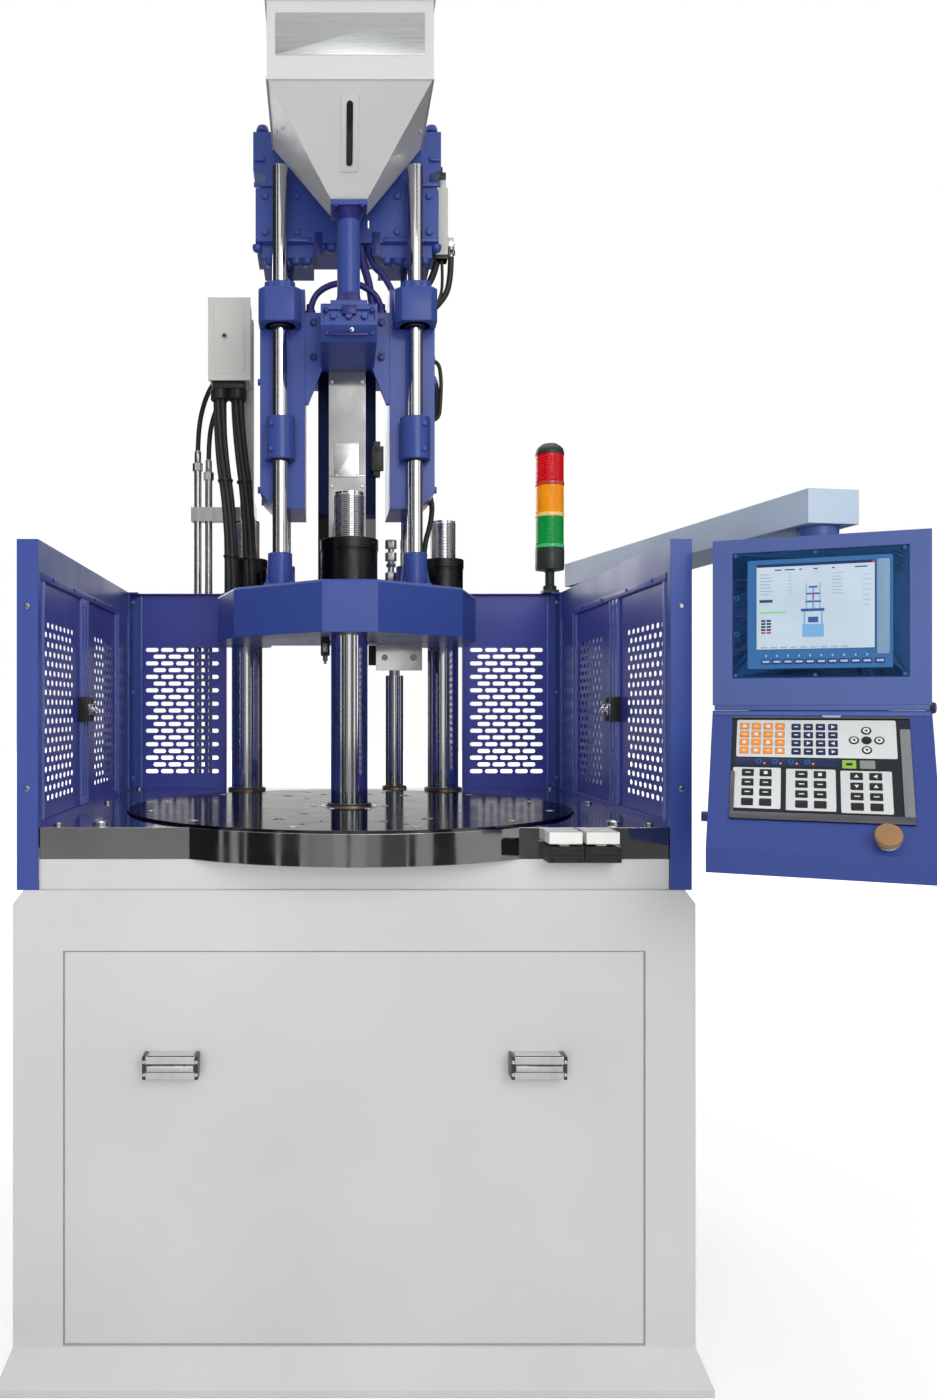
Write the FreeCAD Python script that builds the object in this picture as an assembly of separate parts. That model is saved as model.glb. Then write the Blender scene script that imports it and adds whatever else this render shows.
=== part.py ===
"""Vertical injection moulding machine with a rotary table.

Frame: millimetres, +X to the operator's right, +Y to the back, +Z up.
The origin is on the floor, below the turning axis of the rotary table.
"""
import FreeCAD, Part
import math
import os

V = FreeCAD.Vector
PARTS_DIR = "parts"

# ---------------------------------------------------------------- clearances
RUN_GAP = 0.05          # radial clearance of a sliding or turning fit
SEAT_GAP = 0.3          # gap between faces that move past each other
FIT_GAP = 0.1           # radial clearance of a fixed pin or bush in its hole
MOVE_GAP = 3.0          # gap beside a rotating or swinging piece

# ---------------------------------------------------------------- cabinet
CAB_LEDGE_OUT = 48.0    # cabinet side outside the band
TABLE_OVER = 90.0       # how far the table reaches beyond the cabinet front
CAB_BEHIND = 160.0      # cabinet back behind the rear columns
CAB_WALL = 12.0
FLOOR_T = 12.0
PLINTH_FLARE = 27.0     # how far the plinth stands out
PLINTH_LIP = 14.0
PLINTH_H = 80.0
SHOULDER_Z = 930.0      # start of the chamfer below the ledge
LEDGE_Z = 956.0
SHOULDER_IN = 20.0
BAND_MARGIN = 106.0     # side of the narrower band outside the table
BAND_SETBACK = 8.0
BAND_BACK_IN = 10.0
BED_Z = 1014.0          # underside of the bed plate
APRON_MARGIN = 12.0     # round apron of the bed outside the table
COVER_SIDE = 96.0       # cabinet face beside the cover
COVER_LOW = 82.0
COVER_HIGH = 839.0
COVER_RECESS = 5.0
COVER_T = 3.0
COVER_GAP = 2.0
COVER_FLANGE = 16.0
COVER_LAND = 20.0       # width of the rebate that the cover rests on
HANDLE_IN = 209.0       # handle middle inside the cover edge
HANDLE_Z = 624.0
HANDLE_W = 105.0
HANDLE_H = 42.0
HANDLE_OUT = 34.0
HANDLE_BAR_T = 8.0
HANDLE_FOOT = 9.0

# ---------------------------------------------------------------- bed and rotary table
BED_T = 61.0
TABLE_R = 500.0
TABLE_T = 24.0
TABLE_PROUD = 5.0       # table top above the bed top
TABLE_HOLE_R = 54.0
RECESS_DEPTH = 35.0
STATION_R = 288.0       # from the table's axis to each mould place
MOULD_PITCH = 200.0
MOULD_HOLE_R = 7.0
MOULD_HOLE_DEPTH = 18.0
BEARING_R_IN = 180.0
BEARING_R_OUT = 230.0
GEAR_MODULE = 12.5
GEAR_TEETH = 48
PINION_TEETH = 12
GEAR_T = 13.0
GEAR_RIM = 30.0
PINION_SHAFT_R = 16.0
PINION_SEAT = 20.0      # depth of the pinion shaft in its motor
MOTOR_HALF = 55.0
MOTOR_H = 150.0
MOTOR_FLANGE = 70.0

# ---------------------------------------------------------------- clamp unit
COLUMN_R = 42.5
COLUMN_THREAD_R = 34.0
REAR_COL_X = 270.0
REAR_COL_GAP = 7.464    # between the table rim and a rear column bush
PLATEN_Z = 1474.0
PLATEN_T = 118.0
PLATEN_NOSE_Y = -86.0
PLATEN_NOSE_HALF = 62.0
PLATEN_FRONT = (273.0, 87.0)
PLATEN_SIDE = (331.0, 286.0)
PLATEN_REAR_OUT = 76.0  # platen outside and behind the rear columns
PLATEN_REAR_BACK = 72.0
PLATEN_NOTCH = 50.0
PLATEN_LOBE_IN = 205.0
PLATEN_EDGE = 6.0
SPRUE_R = 62.0
PLATEN_BOLT_X = 180.0
PLATEN_BOLT_Y = 130.0
PLATEN_BOLT_DEPTH = 40.0
FRONT_THREAD_H = 207.0  # column threads above the platen
REAR_THREAD_H = 226.0
FRONT_NUT_R = 65.0
FRONT_NUT_H = 97.0
REAR_NUT_R = 55.0
REAR_NUT_H = 119.0
LOWER_Z = 500.0         # underside of the lower crosshead
LOWER_T = 70.0
LOWER_EDGE = 66.0
LOWER_NUT_H = 36.0
LOWER_NUT_R = 58.0
BUSH_WALL = 9.5
BUSH_BELOW = 54.0
BUSH_PROUD = 8.0
CYL_Y = 327.0           # axis of the clamp cylinder
CYL_R = 104.0
CYL_BORE_R = 88.0
CYL_LOW = 660.0
CYL_GLAND = 50.0
CYL_HEAD = 34.0
CYL_FLANGE_R = 130.0
CYL_FLANGE_T = 24.0
CLAMP_ROD_R = 35.0
CLAMP_ROD_END_R = 30.0
PISTON_T = 40.0
PISTON_TOP = 940.0
SAFETY_X = 140.0
SAFETY_BACK = 58.0      # safety rod behind the rear columns
SAFETY_R = 25.0
SAFETY_NECK_R = 15.0
SAFETY_LOW = 820.0
SAFETY_NECK_H = 68.0    # neck of the safety rod below its bracket
BRACKET_HALF = 61.0
BRACKET_BACK = 52.0     # bracket behind the safety rod
BRACKET_D = 238.0
BRACKET_DROP = 70.0
BRACKET_T = 10.0

# ---------------------------------------------------------------- guide rods and carriage
ROD_X = 166.0
ROD_FRONT_Y = 171.0
ROD_REAR_Y = 417.0
ROD_R = 19.0
ROD_LENGTH = 1044.0
BOSS_R = 30.0
BOSS_H = 92.0
BOSS_FLANGE_HALF = 38.0
BOSS_FLANGE_T = 16.0
BEAM_UP = 558.0         # carriage beam above the platen
BEAM_H = 137.0
BLOCK_IN = 105.0        # the two injection cylinder blocks
BLOCK_OUT = 217.0
BLOCK_FRONT = 196.0
BLOCK_BACK = 392.0
BLOCK_DROP = 350.0      # how far the blocks reach below the beam
BLOCK_H = 545.0
BLOCK_CHAMFER = 40.0
SLEEVE_R = 37.0
SLEEVE_SPANS = ((114.0, 217.0), (443.0, 544.0))  # above the underside of the blocks
INJECT_Y = 288.0        # axis of barrel, screw and motor
SEAT_HALF = 66.0
SEAT_FRONT = 20.0
SEAT_DROP = 47.0        # seat of the feed tube below the top of the beam
SEAT_RISE = 14.0
FACE_MARGIN = 6.0
FACE_DEPTH = 8.0
NOSE_RAMP = 60.0
NOSE_STEP = 80.0
GUSSET_DROP = 90.0
BRIDGE_R = 8.0          # pressure hose that arches over the beam, (x, height) above it
BRIDGE_IN = 29.0        # behind the front of the blocks
BRIDGE = [(-92, 0), (-92, 41), (-54, 79), (12, 90), (64, 65), (86, 31), (86, 0)]
LOOP_R = 5.0            # cable loop on the right block, (outside it, height over its underside)
LOOP_IN = 114.0
LOOP = [(0, 405), (22, 405), (29, 355), (27, 300), (23, 250), (0, 250)]
GUSSET_OUT = 44.0
GUSSET_T = 14.0
BARREL_R = 44.0
BARREL_BORE_R = 18.0
BARREL_UP = 48.0        # thick part of the barrel above the platen
NOZZLE_R = 30.0
NOZZLE_TIP_R = 10.0
NOZZLE_TIP_UP = 16.0    # nozzle tip above the underside of the platen
NOZZLE_CONE_H = 55.0
BAND_HEATER_R = 50.0
BAND_HEATER_H = 170.0
BAND_HEATER_PITCH = 210.0
BAND_HEATER_COUNT = 2
SHROUD_HALF = 73.0      # octagonal barrel cover
SHROUD_FACE = 46.0
SHROUD_T = 3.0
SHROUD_UP = 5.0
FEED_Y = 65.0
FEED_R = 27.0
FEED_BORE_R = 20.0
FEED_FLANGE_HALF = 43.0
FEED_FLANGE_T = 12.0
FEED_H = 246.0
HOPPER_HALF = 185.5
HOPPER_DEPTH = 300.0
HOPPER_CONE_H = 218.0
HOPPER_BOX_H = 173.0
HOPPER_NECK = 42.5
HOPPER_T = 4.0
GLASS_W = 14.0
GLASS_UP = 66.0         # sight slot above the hopper outlet
GLASS_H = 116.0
GLASS_T = 6.0
LID_T = 4.0
LID_OVER = 5.0
LID_KNOB_R = 14.0
LID_PIN_R = 3.0
LID_KNUCKLE_R = 4.5
LID_AXIS_OUT = 7.0      # lid hinge axis behind the hopper's back wall
LID_HINGES = (60.0, 100.0)
LID_EAR_W = 15.0
LID_EAR_DROP = 14.0

# ---------------------------------------------------------------- thrust block and screw
THRUST_HALF = 236.0
THRUST_FRONT = 225.0
THRUST_BACK = 388.0
THRUST_UP = 128.0       # thrust block above the cylinder blocks
THRUST_BODY_H = 133.0
THRUST_NECK_H = 50.0
THRUST_ARM_H = 146.0
THRUST_NECK_HALF = 206.0
THRUST_V_HALF = 150.0
THRUST_V_FLOOR = 70.0
FOOT_IN = 84.0
FOOT_OUT = 214.0
FOOT_T = 34.0
HEX_R = 11.0
HEX_H = 14.0
PISTON_ROD_X = 161.0
PISTON_ROD_Y = 294.0
PISTON_ROD_R = 25.0
PISTON_ROD_UP = 200.0   # ends of rod and bore above the underside of the blocks
CYL_BORE_UP = 100.0
SCREW_R = 18.0
SCREW_TIP_UP = 25.0     # above the end of the thick barrel
SCREW_DRIVE_H = 117.0   # drive end inside the thrust block
SCREW_DRIVE_R = 20.0
HYD_MOTOR_R = 58.0
HYD_MOTOR_H = 170.0
HYD_MOTOR_CAP_R = 36.0
SENSOR_DROP = 6.0
SENSOR_RISE = 42.0
SENSOR_OUT = 26.0
SENSOR_D = 40.0
SENSOR_Y = 300.0

# ---------------------------------------------------------------- services on the clamp unit
JBOX_OUT = 92.0         # box outside the rear left column
JBOX_W = 106.0
JBOX_BACK = 20.0
JBOX_D = 94.0
JBOX_UP = 584.0         # above the platen
JBOX_H = 213.0
JPOST_HALF = 18.0       # square post that stands on the rear left column
CABLE_R = 20.0
CABLE_BACK = 30.0
KNEE_UP = 418.0         # bends of the cables above the platen
ANKLE_UP = 208.0
KNEE_STEP = 60.0
CABLE_BEND = 160.0
CABLE_DROPS = (25.0, 72.0)  # from the left side of the box
CABLE_FEET = ((-32.0, -140.0), (14.0, -98.0))  # from the rear left column
PIPE_R = 11.0
PIPE_OUT = 151.0        # outer pipe outside the rear left column
PIPE_PITCH = 31.0
PIPE_BACK = 125.0
PIPE_LOW = 960.0
PIPE_UP = 394.0         # pipe ends above the platen
PIPE_STEP = 26.0        # each pipe ends lower than the one before
PIPE_CLAMP_UP = 248.0
OIL_HOSE_R = 7.0
OIL_HOSES = [           # routes from the pipe ends to the back of the junction box
    [(0, 0, 22), (0, 0, 99), (13, -13, 174), (41, -50, 226), (69, -90, 236), (69, -145, 236)],
    [(31, 0, -4), (31, 0, 74), (41, -11, 139), (69, -45, 194), (93, -85, 209), (93, -145, 209)],
]
PIPE_CLAMP_H = 40.0

# ---------------------------------------------------------------- guard
GUARD_TOP = 1629.0
GUARD_RAIL = 68.0
GUARD_T = 4.0
POST_W = 41.0
POST_DEPTH = 22.0
GUARD_INSET = 60.0      # rear panels in front of the cabinet back
GUARD_LAP = 40.0        # how far the side sheet laps down over the bed's edge
LEAF_T = 18.0
LEAF_SHEET = 2.0
LEAF_GAP = 4.0
LEAF_RIM = 24.0
LEAF_SPLIT_Y = -25.0
LEAF_REAR_Y = 367.0
LEAF_LIFT = 5.0
CORNER_W = 26.0
CORNER_D = 58.0         # the corner post's top also carries the light tower
REAR_PANEL_W = 271.0
REAR_T = 3.0
REAR_FOLD = 22.0
SLOT_W = 36.0
SLOT_H = 12.0
SLOT_PITCH = 43.0
SLOT_ROW = 19.2
SLOT_ROWS = 19
SLOT_LOW = 1125.0
SLOT_MID_IN = 144.0     # middle of the rear slots inside the side sheet
LEAF_SLOT_W = 56.0
LEAF_SLOT_PITCH = 68.0
LEAF_SLOT_ROW = 38.4
LEAF_SLOT_ROWS = 10
LEAF_SLOT_COLUMNS = 4
PIN_R = 3.0
KNUCKLE_R = 6.6         # hexagon round the hinge pin, across its corners
KNUCKLE_OUT = 6.0       # hinge axis outside the leaf's outer face
HINGE_CLEAR = 7.0       # hinge axis beside the frame that carries it
HINGE_EAR = 16.0
HINGE_END = 40.0
LATCH_Z = 1272.0
LATCH_H = 60.0
LATCH_OUT = 22.0
LATCH_W = 26.0

# ---------------------------------------------------------------- start boxes and light tower
START_IN = 173.0        # left end of the right box inside the side sheet
START_PITCH = 70.0
START_W = 68.0
START_OUT = 50.0
START_Z = (1014.0, 1044.0)
START_CAP_H = 22.0
START_CAP_IN = 3.0
START_STEM_HALF = 9.0
START_STEM_H = 14.0
START_TRAVEL = 4.0
TOWER_IN = 26.0         # light tower inside the side sheet and the rear panel
TOWER_FORWARD = 28.0
TOWER_POLE_R = 13.0
TOWER_POLE_H = 66.0
TOWER_FOOT = 22.0
TOWER_R = 40.0
TOWER_BASE_H = 60.0
TOWER_LENS_H = 88.0
TOWER_CAP_H = 30.0

# ---------------------------------------------------------------- swing arm and control box
ARM_POST_OUT = 40.0     # arm post beside the cabinet
ARM_POST_IN = 230.0
ARM_POST_HALF = 38.0
ARM_POST_LOW = 560.0
ARM_POST_TOP = 1624.0
ARM_LOW = 1636.0
ARM_HIGH = 1698.0
ARM_PIN_R = 24.0
ARM_FOOT_HALF = 60.0    # welding plate of the arm post
ARM_ROOT = 60.0         # beam behind the post axis
ARM_WIDTH = 84.0
ARM_TIP_WIDTH = 50.0
YAW = -24.0             # the control box turned towards the operator
BOX_OUT = 168.0         # box middle outside and in front of the cabinet
BOX_FORWARD = 145.0
SCREEN_HALF = 177.0
SCREEN_DEPTH = 110.0
SCREEN_Z = (1310.0, 1613.0)
BEZEL_HALF = 143.0
BEZEL_Z = (1359.0, 1588.0)
BEZEL_DEPTH = 5.0
GLASS_X = (-102.0, 90.0)
GLASS_Z = (1411.0, 1564.0)
SWIVEL_Y = 66.0         # swivel pin behind the screen face
SWIVEL_R = 22.0
KEY_SLOPE = 35.0
KEY_LENGTH = 285.0
KEY_LIP = 42.0
KEY_FLOOR = 120.0
KEY_BACK_Z = 1180.0
KEY_TOP = 1300.0
KEY_FIELD_HALF = 142.0
KEY_FIELD = (14.0, 227.0)
KEY_FIELD_DEPTH = 3.0
KEY_TILT_Y = 100.0      # tilt hinge, in the gap between the two housings
TILT_Z = 1305.0
TILT_PIN_R = 3.0
TILT_KNUCKLE_R = 4.7
TILT_WEB = 3.5
TILT_EAR = 120.0
TILT_EAR_W = 40.0
SIDE_KNOB_DOWN = 190.0
SIDE_KNOB_IN = 60.0
KNOB_R = 9.0
KNOB_LEN = 16.0
STOP_X = 100.0
STOP_DOWN = 258.0
STOP_R = 21.0
STOP_COLLAR_R = 16.0
STOP_COLLAR_H = 8.0
STOP_TRAVEL = 5.0
STOP_HEAD_H = 12.0

# ---------------------------------------------------------------- hydraulics in the cabinet
TANK_IN = 54.0          # tank inside the cabinet side and front
TANK_BEHIND = 70.0
TANK_LEN = 450.0
TANK_D = 280.0
TANK_H = 330.0
TANK_RIM = 10.0
PUMP_FROM_TANK = 190.0
TERMINAL_IN = 90.0      # terminal box on the pump motor
TERMINAL_LEN = 110.0
TERMINAL_HALF = 50.0
PUMP_MOTOR_R = 90.0
PUMP_MOTOR_LEN = 330.0
PUMP_MOTOR_Z = 200.0
PUMP_R = 60.0
PUMP_LEN = 120.0

REAR_COL_R = TABLE_R + REAR_COL_GAP + BUSH_WALL + COLUMN_R
REAR_COL_Y = math.sqrt(REAR_COL_R ** 2 - REAR_COL_X ** 2)
APRON_R = TABLE_R + APRON_MARGIN
BAND_HALF = TABLE_R + BAND_MARGIN
CAB_HALF = BAND_HALF + CAB_LEDGE_OUT
CAB_FRONT = TABLE_OVER - TABLE_R
CAB_BACK = REAR_COL_Y + CAB_BEHIND
COVER_HALF = CAB_HALF - COVER_SIDE
HANDLE_X = COVER_HALF - HANDLE_IN
PLATEN_REAR_X = REAR_COL_X + PLATEN_REAR_OUT
PLATEN_REAR_Y = REAR_COL_Y + PLATEN_REAR_BACK
PLATEN_NOTCH_Y = REAR_COL_Y - PLATEN_NOTCH
SAFETY_Y = REAR_COL_Y + SAFETY_BACK
BRACKET_Y1 = SAFETY_Y + BRACKET_BACK
BRACKET_Y0 = BRACKET_Y1 - BRACKET_D
JBOX_X = (-REAR_COL_X - JBOX_OUT, -REAR_COL_X - JBOX_OUT + JBOX_W)
JBOX_Y = (REAR_COL_Y - JBOX_BACK - JBOX_D, REAR_COL_Y - JBOX_BACK)
PIPE_X = -REAR_COL_X - PIPE_OUT
PIPE_Y = REAR_COL_Y + PIPE_BACK
GUARD_BACK = CAB_BACK - GUARD_INSET
POST_OUT = BAND_HALF + POST_W
REAR_INNER = BAND_HALF - REAR_PANEL_W
SLOT_MID_X = BAND_HALF - SLOT_MID_IN
START_X = (BAND_HALF - START_IN - START_PITCH, BAND_HALF - START_IN)
TOWER_X = BAND_HALF - TOWER_IN
TOWER_Y = GUARD_BACK - TOWER_FORWARD
ARM_POST_X = CAB_HALF + ARM_POST_OUT
ARM_POST_Y = CAB_BACK - ARM_POST_IN
BOX_X = CAB_HALF + BOX_OUT
BOX_Y = CAB_FRONT - BOX_FORWARD
TANK_X = (-CAB_HALF + TANK_IN, -CAB_HALF + TANK_IN + TANK_LEN)
TANK_Y = (CAB_FRONT + TANK_BEHIND, CAB_FRONT + TANK_BEHIND + TANK_D)
PUMP_AXIS_X = TANK_X[1] + PUMP_FROM_TANK
PUMP_Y = TANK_Y[0] + TANK_D / 2
BED_TOP = BED_Z + BED_T
TABLE_TOP = BED_TOP + TABLE_PROUD
TABLE_Z = TABLE_TOP - TABLE_T
RECESS_Z = BED_TOP - RECESS_DEPTH
PLATEN_TOP = PLATEN_Z + PLATEN_T
SAFETY_SHOULDER = PLATEN_Z - BRACKET_T - SAFETY_NECK_H
ROD_TOP = PLATEN_TOP + ROD_LENGTH
BEAM_LOW = PLATEN_TOP + BEAM_UP
BEAM_HIGH = BEAM_LOW + BEAM_H
BLOCK_LOW = BEAM_LOW - BLOCK_DROP
BLOCK_HIGH = BLOCK_LOW + BLOCK_H
SEAT_TOP = BEAM_HIGH - SEAT_DROP
SEAT_LOW = BEAM_LOW + SEAT_RISE
BARREL_LOW = PLATEN_TOP + BARREL_UP
NOZZLE_TIP_Z = PLATEN_Z + NOZZLE_TIP_UP
NOZZLE_BODY_Z = NOZZLE_TIP_Z + NOZZLE_CONE_H
FEED_TOP = SEAT_TOP + FEED_H
HOPPER_MID = FEED_TOP + HOPPER_CONE_H
HOPPER_TOP = HOPPER_MID + HOPPER_BOX_H
GLASS_LOW = FEED_TOP + GLASS_UP
GLASS_HIGH = GLASS_LOW + GLASS_H
THRUST_LOW = BLOCK_HIGH + THRUST_UP
THRUST_MID = THRUST_LOW + THRUST_BODY_H
THRUST_NECK_Z = THRUST_MID + THRUST_NECK_H
THRUST_TOP = THRUST_MID + THRUST_ARM_H
SCREW_TOP_Z = THRUST_LOW + SCREW_DRIVE_H
JBOX_Z = (PLATEN_TOP + JBOX_UP, PLATEN_TOP + JBOX_UP + JBOX_H)
PIPE_TOP = PLATEN_TOP + PIPE_UP
PIPE_CLAMP_Z = PLATEN_TOP + PIPE_CLAMP_UP
BAND_FRONT = CAB_FRONT + BAND_SETBACK
BAND_BACK = CAB_BACK - BAND_BACK_IN
PITCH_R = GEAR_MODULE * GEAR_TEETH / 2
PINION_R = GEAR_MODULE * PINION_TEETH / 2
PINION_X = -(PITCH_R + PINION_R)
ROD_SPOTS = [(s * ROD_X, y) for y in (ROD_FRONT_Y, ROD_REAR_Y) for s in (-1, 1)]
COLUMN_SPOTS = [(0.0, 0.0), (-REAR_COL_X, REAR_COL_Y), (REAR_COL_X, REAR_COL_Y)]


# ---------------------------------------------------------------- helpers
def box(x0, x1, y0, y1, z0, z1):
    """A block between two corners."""
    return Part.makeBox(x1 - x0, y1 - y0, z1 - z0, V(x0, y0, z0))


def rod(r, z0, z1, x=0.0, y=0.0):
    """An upright cylinder."""
    return Part.makeCylinder(r, z1 - z0, V(x, y, z0))


def ring(r_out, r_in, z0, z1, x=0.0, y=0.0):
    """An upright tube."""
    return rod(r_out, z0, z1, x, y).cut(rod(r_in, z0 - 1, z1 + 1, x, y))


def plate(points, z0, z1):
    """A flat outline in plan, pulled up from z0 to z1."""
    wire = Part.makePolygon([V(x, y, z0) for x, y in points] + [V(points[0][0], points[0][1], z0)])
    return Part.Face(wire).extrude(V(0, 0, z1 - z0))


def front_profile(points, y0, y1):
    """A flat outline of x and z, pulled back from y0 to y1."""
    first = V(points[0][0], y0, points[0][1])
    wire = Part.makePolygon([V(x, y0, z) for x, z in points] + [first])
    return Part.Face(wire).extrude(V(0, y1 - y0, 0))


def side_profile(points, x0, x1):
    """A flat outline of y and z, pulled across from x0 to x1."""
    first = V(x0, points[0][0], points[0][1])
    wire = Part.makePolygon([V(x0, y, z) for y, z in points] + [first])
    return Part.Face(wire).extrude(V(x1 - x0, 0, 0))


def frustum(low, high, z0, z1):
    """A tapered block with flat faces between two rectangles (x0, x1, y0, y1)."""
    rings = []
    for (x0, x1, y0, y1), z in ((low, z0), (high, z1)):
        rings.append([V(x0, y0, z), V(x1, y0, z), V(x1, y1, z), V(x0, y1, z)])
    bottom, top = rings
    quads = [bottom, top]
    for k in range(4):
        n = (k + 1) % 4
        quads.append([bottom[k], bottom[n], top[n], top[k]])
    faces = [Part.Face(Part.makePolygon(q + [q[0]])) for q in quads]
    return Part.makeSolid(Part.makeShell(faces))


def hexagon(r, z0, z1, x, y):
    """An upright hexagon bar, such as a bolt head."""
    corners = [(x + r * math.cos(k * math.pi / 3), y + r * math.sin(k * math.pi / 3)) for k in range(6)]
    return plate(corners, z0, z1)


def mirror_x(shape):
    """The same shape on the other side of the machine."""
    return shape.mirror(V(0, 0, 0), V(1, 0, 0))


def join(shapes):
    """One solid from pieces that touch or overlap."""
    return shapes[0].multiFuse(shapes[1:]).removeSplitter()


def cut(shape, tools):
    """A shape with all the tools taken out of it."""
    return shape.cut(Part.makeCompound(tools))


def save(name, *shapes):
    """Write one sub-part, as one solid or as a group of separate solids."""
    solids = []
    for shape in shapes:
        solids.extend(shape.Solids)
    out = solids[0] if len(solids) == 1 else Part.makeCompound(solids)
    out.exportStep(os.path.join(PARTS_DIR, name + ".step"))


def rect_loop(u0, u1, w0, w1, place):
    """A closed rectangle in a sheet; place turns (u, w) into a point."""
    corners = [(u0, w0), (u1, w0), (u1, w1), (u0, w1), (u0, w0)]
    return Part.makePolygon([place(u, w) for u, w in corners])


def perforated(outline, slots, place, push):
    """A sheet with rectangular slots; outline and slots are (u0, u1, w0, w1)."""
    wires = [rect_loop(*outline, place)] + [rect_loop(*slot, place) for slot in slots]
    return Part.makeFace(Part.makeCompound(wires), "Part::FaceMakerBullseye").extrude(push)


# ---------------------------------------------------------------- base
def make_base_frame():
    """Cabinet shell with plinth, front opening, ledge and the band below the bed."""
    foot = (-CAB_HALF - PLINTH_FLARE, CAB_HALF + PLINTH_FLARE,
            CAB_FRONT - PLINTH_FLARE, CAB_BACK + PLINTH_FLARE)
    body = (-CAB_HALF, CAB_HALF, CAB_FRONT, CAB_BACK)
    top = (-CAB_HALF + SHOULDER_IN, CAB_HALF - SHOULDER_IN, CAB_FRONT, CAB_BACK)
    shell = join([
        box(*foot, 0, PLINTH_LIP),
        frustum(foot, body, PLINTH_LIP, PLINTH_H),
        box(*body, PLINTH_H, SHOULDER_Z),
        frustum(body, top, SHOULDER_Z, LEDGE_Z),
        box(-BAND_HALF, BAND_HALF, BAND_FRONT, BAND_BACK, LEDGE_Z, BED_Z),
    ])
    w = CAB_WALL
    hollow = [
        box(-CAB_HALF + w, CAB_HALF - w, CAB_FRONT + w, CAB_BACK - w, FLOOR_T, SHOULDER_Z),
        box(-BAND_HALF + w, BAND_HALF - w, BAND_FRONT + w, BAND_BACK - w, SHOULDER_Z - 1, BED_Z + 1),
        box(-COVER_HALF, COVER_HALF, CAB_FRONT - 1, CAB_FRONT + COVER_RECESS + COVER_T,
            COVER_LOW, COVER_HIGH),
        box(-COVER_HALF + COVER_LAND, COVER_HALF - COVER_LAND, CAB_FRONT - 1, CAB_FRONT + w + 1,
            COVER_LOW + COVER_LAND, COVER_HIGH - COVER_LAND),
    ]
    save("base_frame", cut(shell, hollow))


def make_front_cover():
    """Lift-off sheet cover with a stiffening flange, and its two pull handles."""
    face = CAB_FRONT + COVER_RECESS
    x = COVER_HALF - COVER_GAP
    low = COVER_LOW + COVER_GAP
    high = COVER_HIGH - COVER_GAP
    fx = COVER_HALF - COVER_LAND - COVER_GAP
    f_low = COVER_LOW + COVER_LAND + COVER_GAP
    f_high = COVER_HIGH - COVER_LAND - COVER_GAP
    back = face + COVER_T
    flange = box(-fx, fx, back - 1, back + COVER_FLANGE, f_low, f_high)
    inner = box(-fx + COVER_T, fx - COVER_T, back - 2, back + COVER_FLANGE + 1,
                f_low + COVER_T, f_high - COVER_T)
    save("front_cover", join([box(-x, x, face, back, low, high), flange.cut(inner)]))
    handles = []
    for side in (-1, 1):
        x0 = side * HANDLE_X - HANDLE_W / 2
        x1 = x0 + HANDLE_W
        z0 = HANDLE_Z - HANDLE_H / 2
        z1 = z0 + HANDLE_H
        out = face - HANDLE_OUT
        handles.append(join([
            box(x0, x1, out, out + HANDLE_BAR_T, z0, z1),
            box(x0, x0 + HANDLE_FOOT, out, face, z0, z1),
            box(x1 - HANDLE_FOOT, x1, out, face, z0, z1),
        ]))
    save("cover_handles", *handles)


def make_bed_plate():
    """Polished steel bed with the round apron, the table recess and the column holes."""
    bed = join([box(-BAND_HALF, BAND_HALF, BAND_FRONT, BAND_BACK, BED_Z, BED_TOP),
                rod(APRON_R, BED_Z, BED_TOP)])
    tools = [rod(TABLE_R + MOVE_GAP, RECESS_Z, BED_TOP + 1)]
    for x, y in COLUMN_SPOTS:
        tools.append(rod(COLUMN_R + BUSH_WALL + FIT_GAP, BED_Z - 1, BED_TOP + 1, x, y))
    tools.append(rod(SAFETY_R + BUSH_WALL + FIT_GAP, BED_Z - 1, BED_TOP + 1, SAFETY_X, SAFETY_Y))
    tools.append(rod(PINION_SHAFT_R + RUN_GAP, BED_Z - 1, BED_TOP + 1, PINION_X, 0))
    for x in (PIPE_X, PIPE_X + PIPE_PITCH):
        tools.append(rod(PIPE_R + RUN_GAP, BED_Z - 1, BED_TOP + 1, x, PIPE_Y))
    save("bed_plate", cut(bed, tools))
    bushes = []
    for x, y in COLUMN_SPOTS + [(SAFETY_X, SAFETY_Y)]:
        bore = SAFETY_R if x == SAFETY_X else COLUMN_R
        bushes.append(ring(bore + BUSH_WALL, bore + RUN_GAP, BED_Z - BUSH_BELOW, BED_TOP + BUSH_PROUD, x, y))
    save("column_bushes", *bushes)
    save("table_bearing", ring(BEARING_R_OUT, BEARING_R_IN, RECESS_Z, TABLE_Z - SEAT_GAP))


def make_gear(teeth, z0, z1, phase):
    """A spur gear blank with straight-sided teeth about its own axis."""
    pitch_r = GEAR_MODULE * teeth / 2
    root = pitch_r - 1.2 * GEAR_MODULE
    tip = pitch_r + 0.8 * GEAR_MODULE
    step = 2 * math.pi / teeth
    points = []
    for k in range(teeth):
        for r, share in ((root, -0.26), (tip, -0.10), (tip, 0.10), (root, 0.26)):
            a = phase + (k + share) * step
            points.append((r * math.cos(a), r * math.sin(a)))
    return plate(points, z0, z1)


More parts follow.
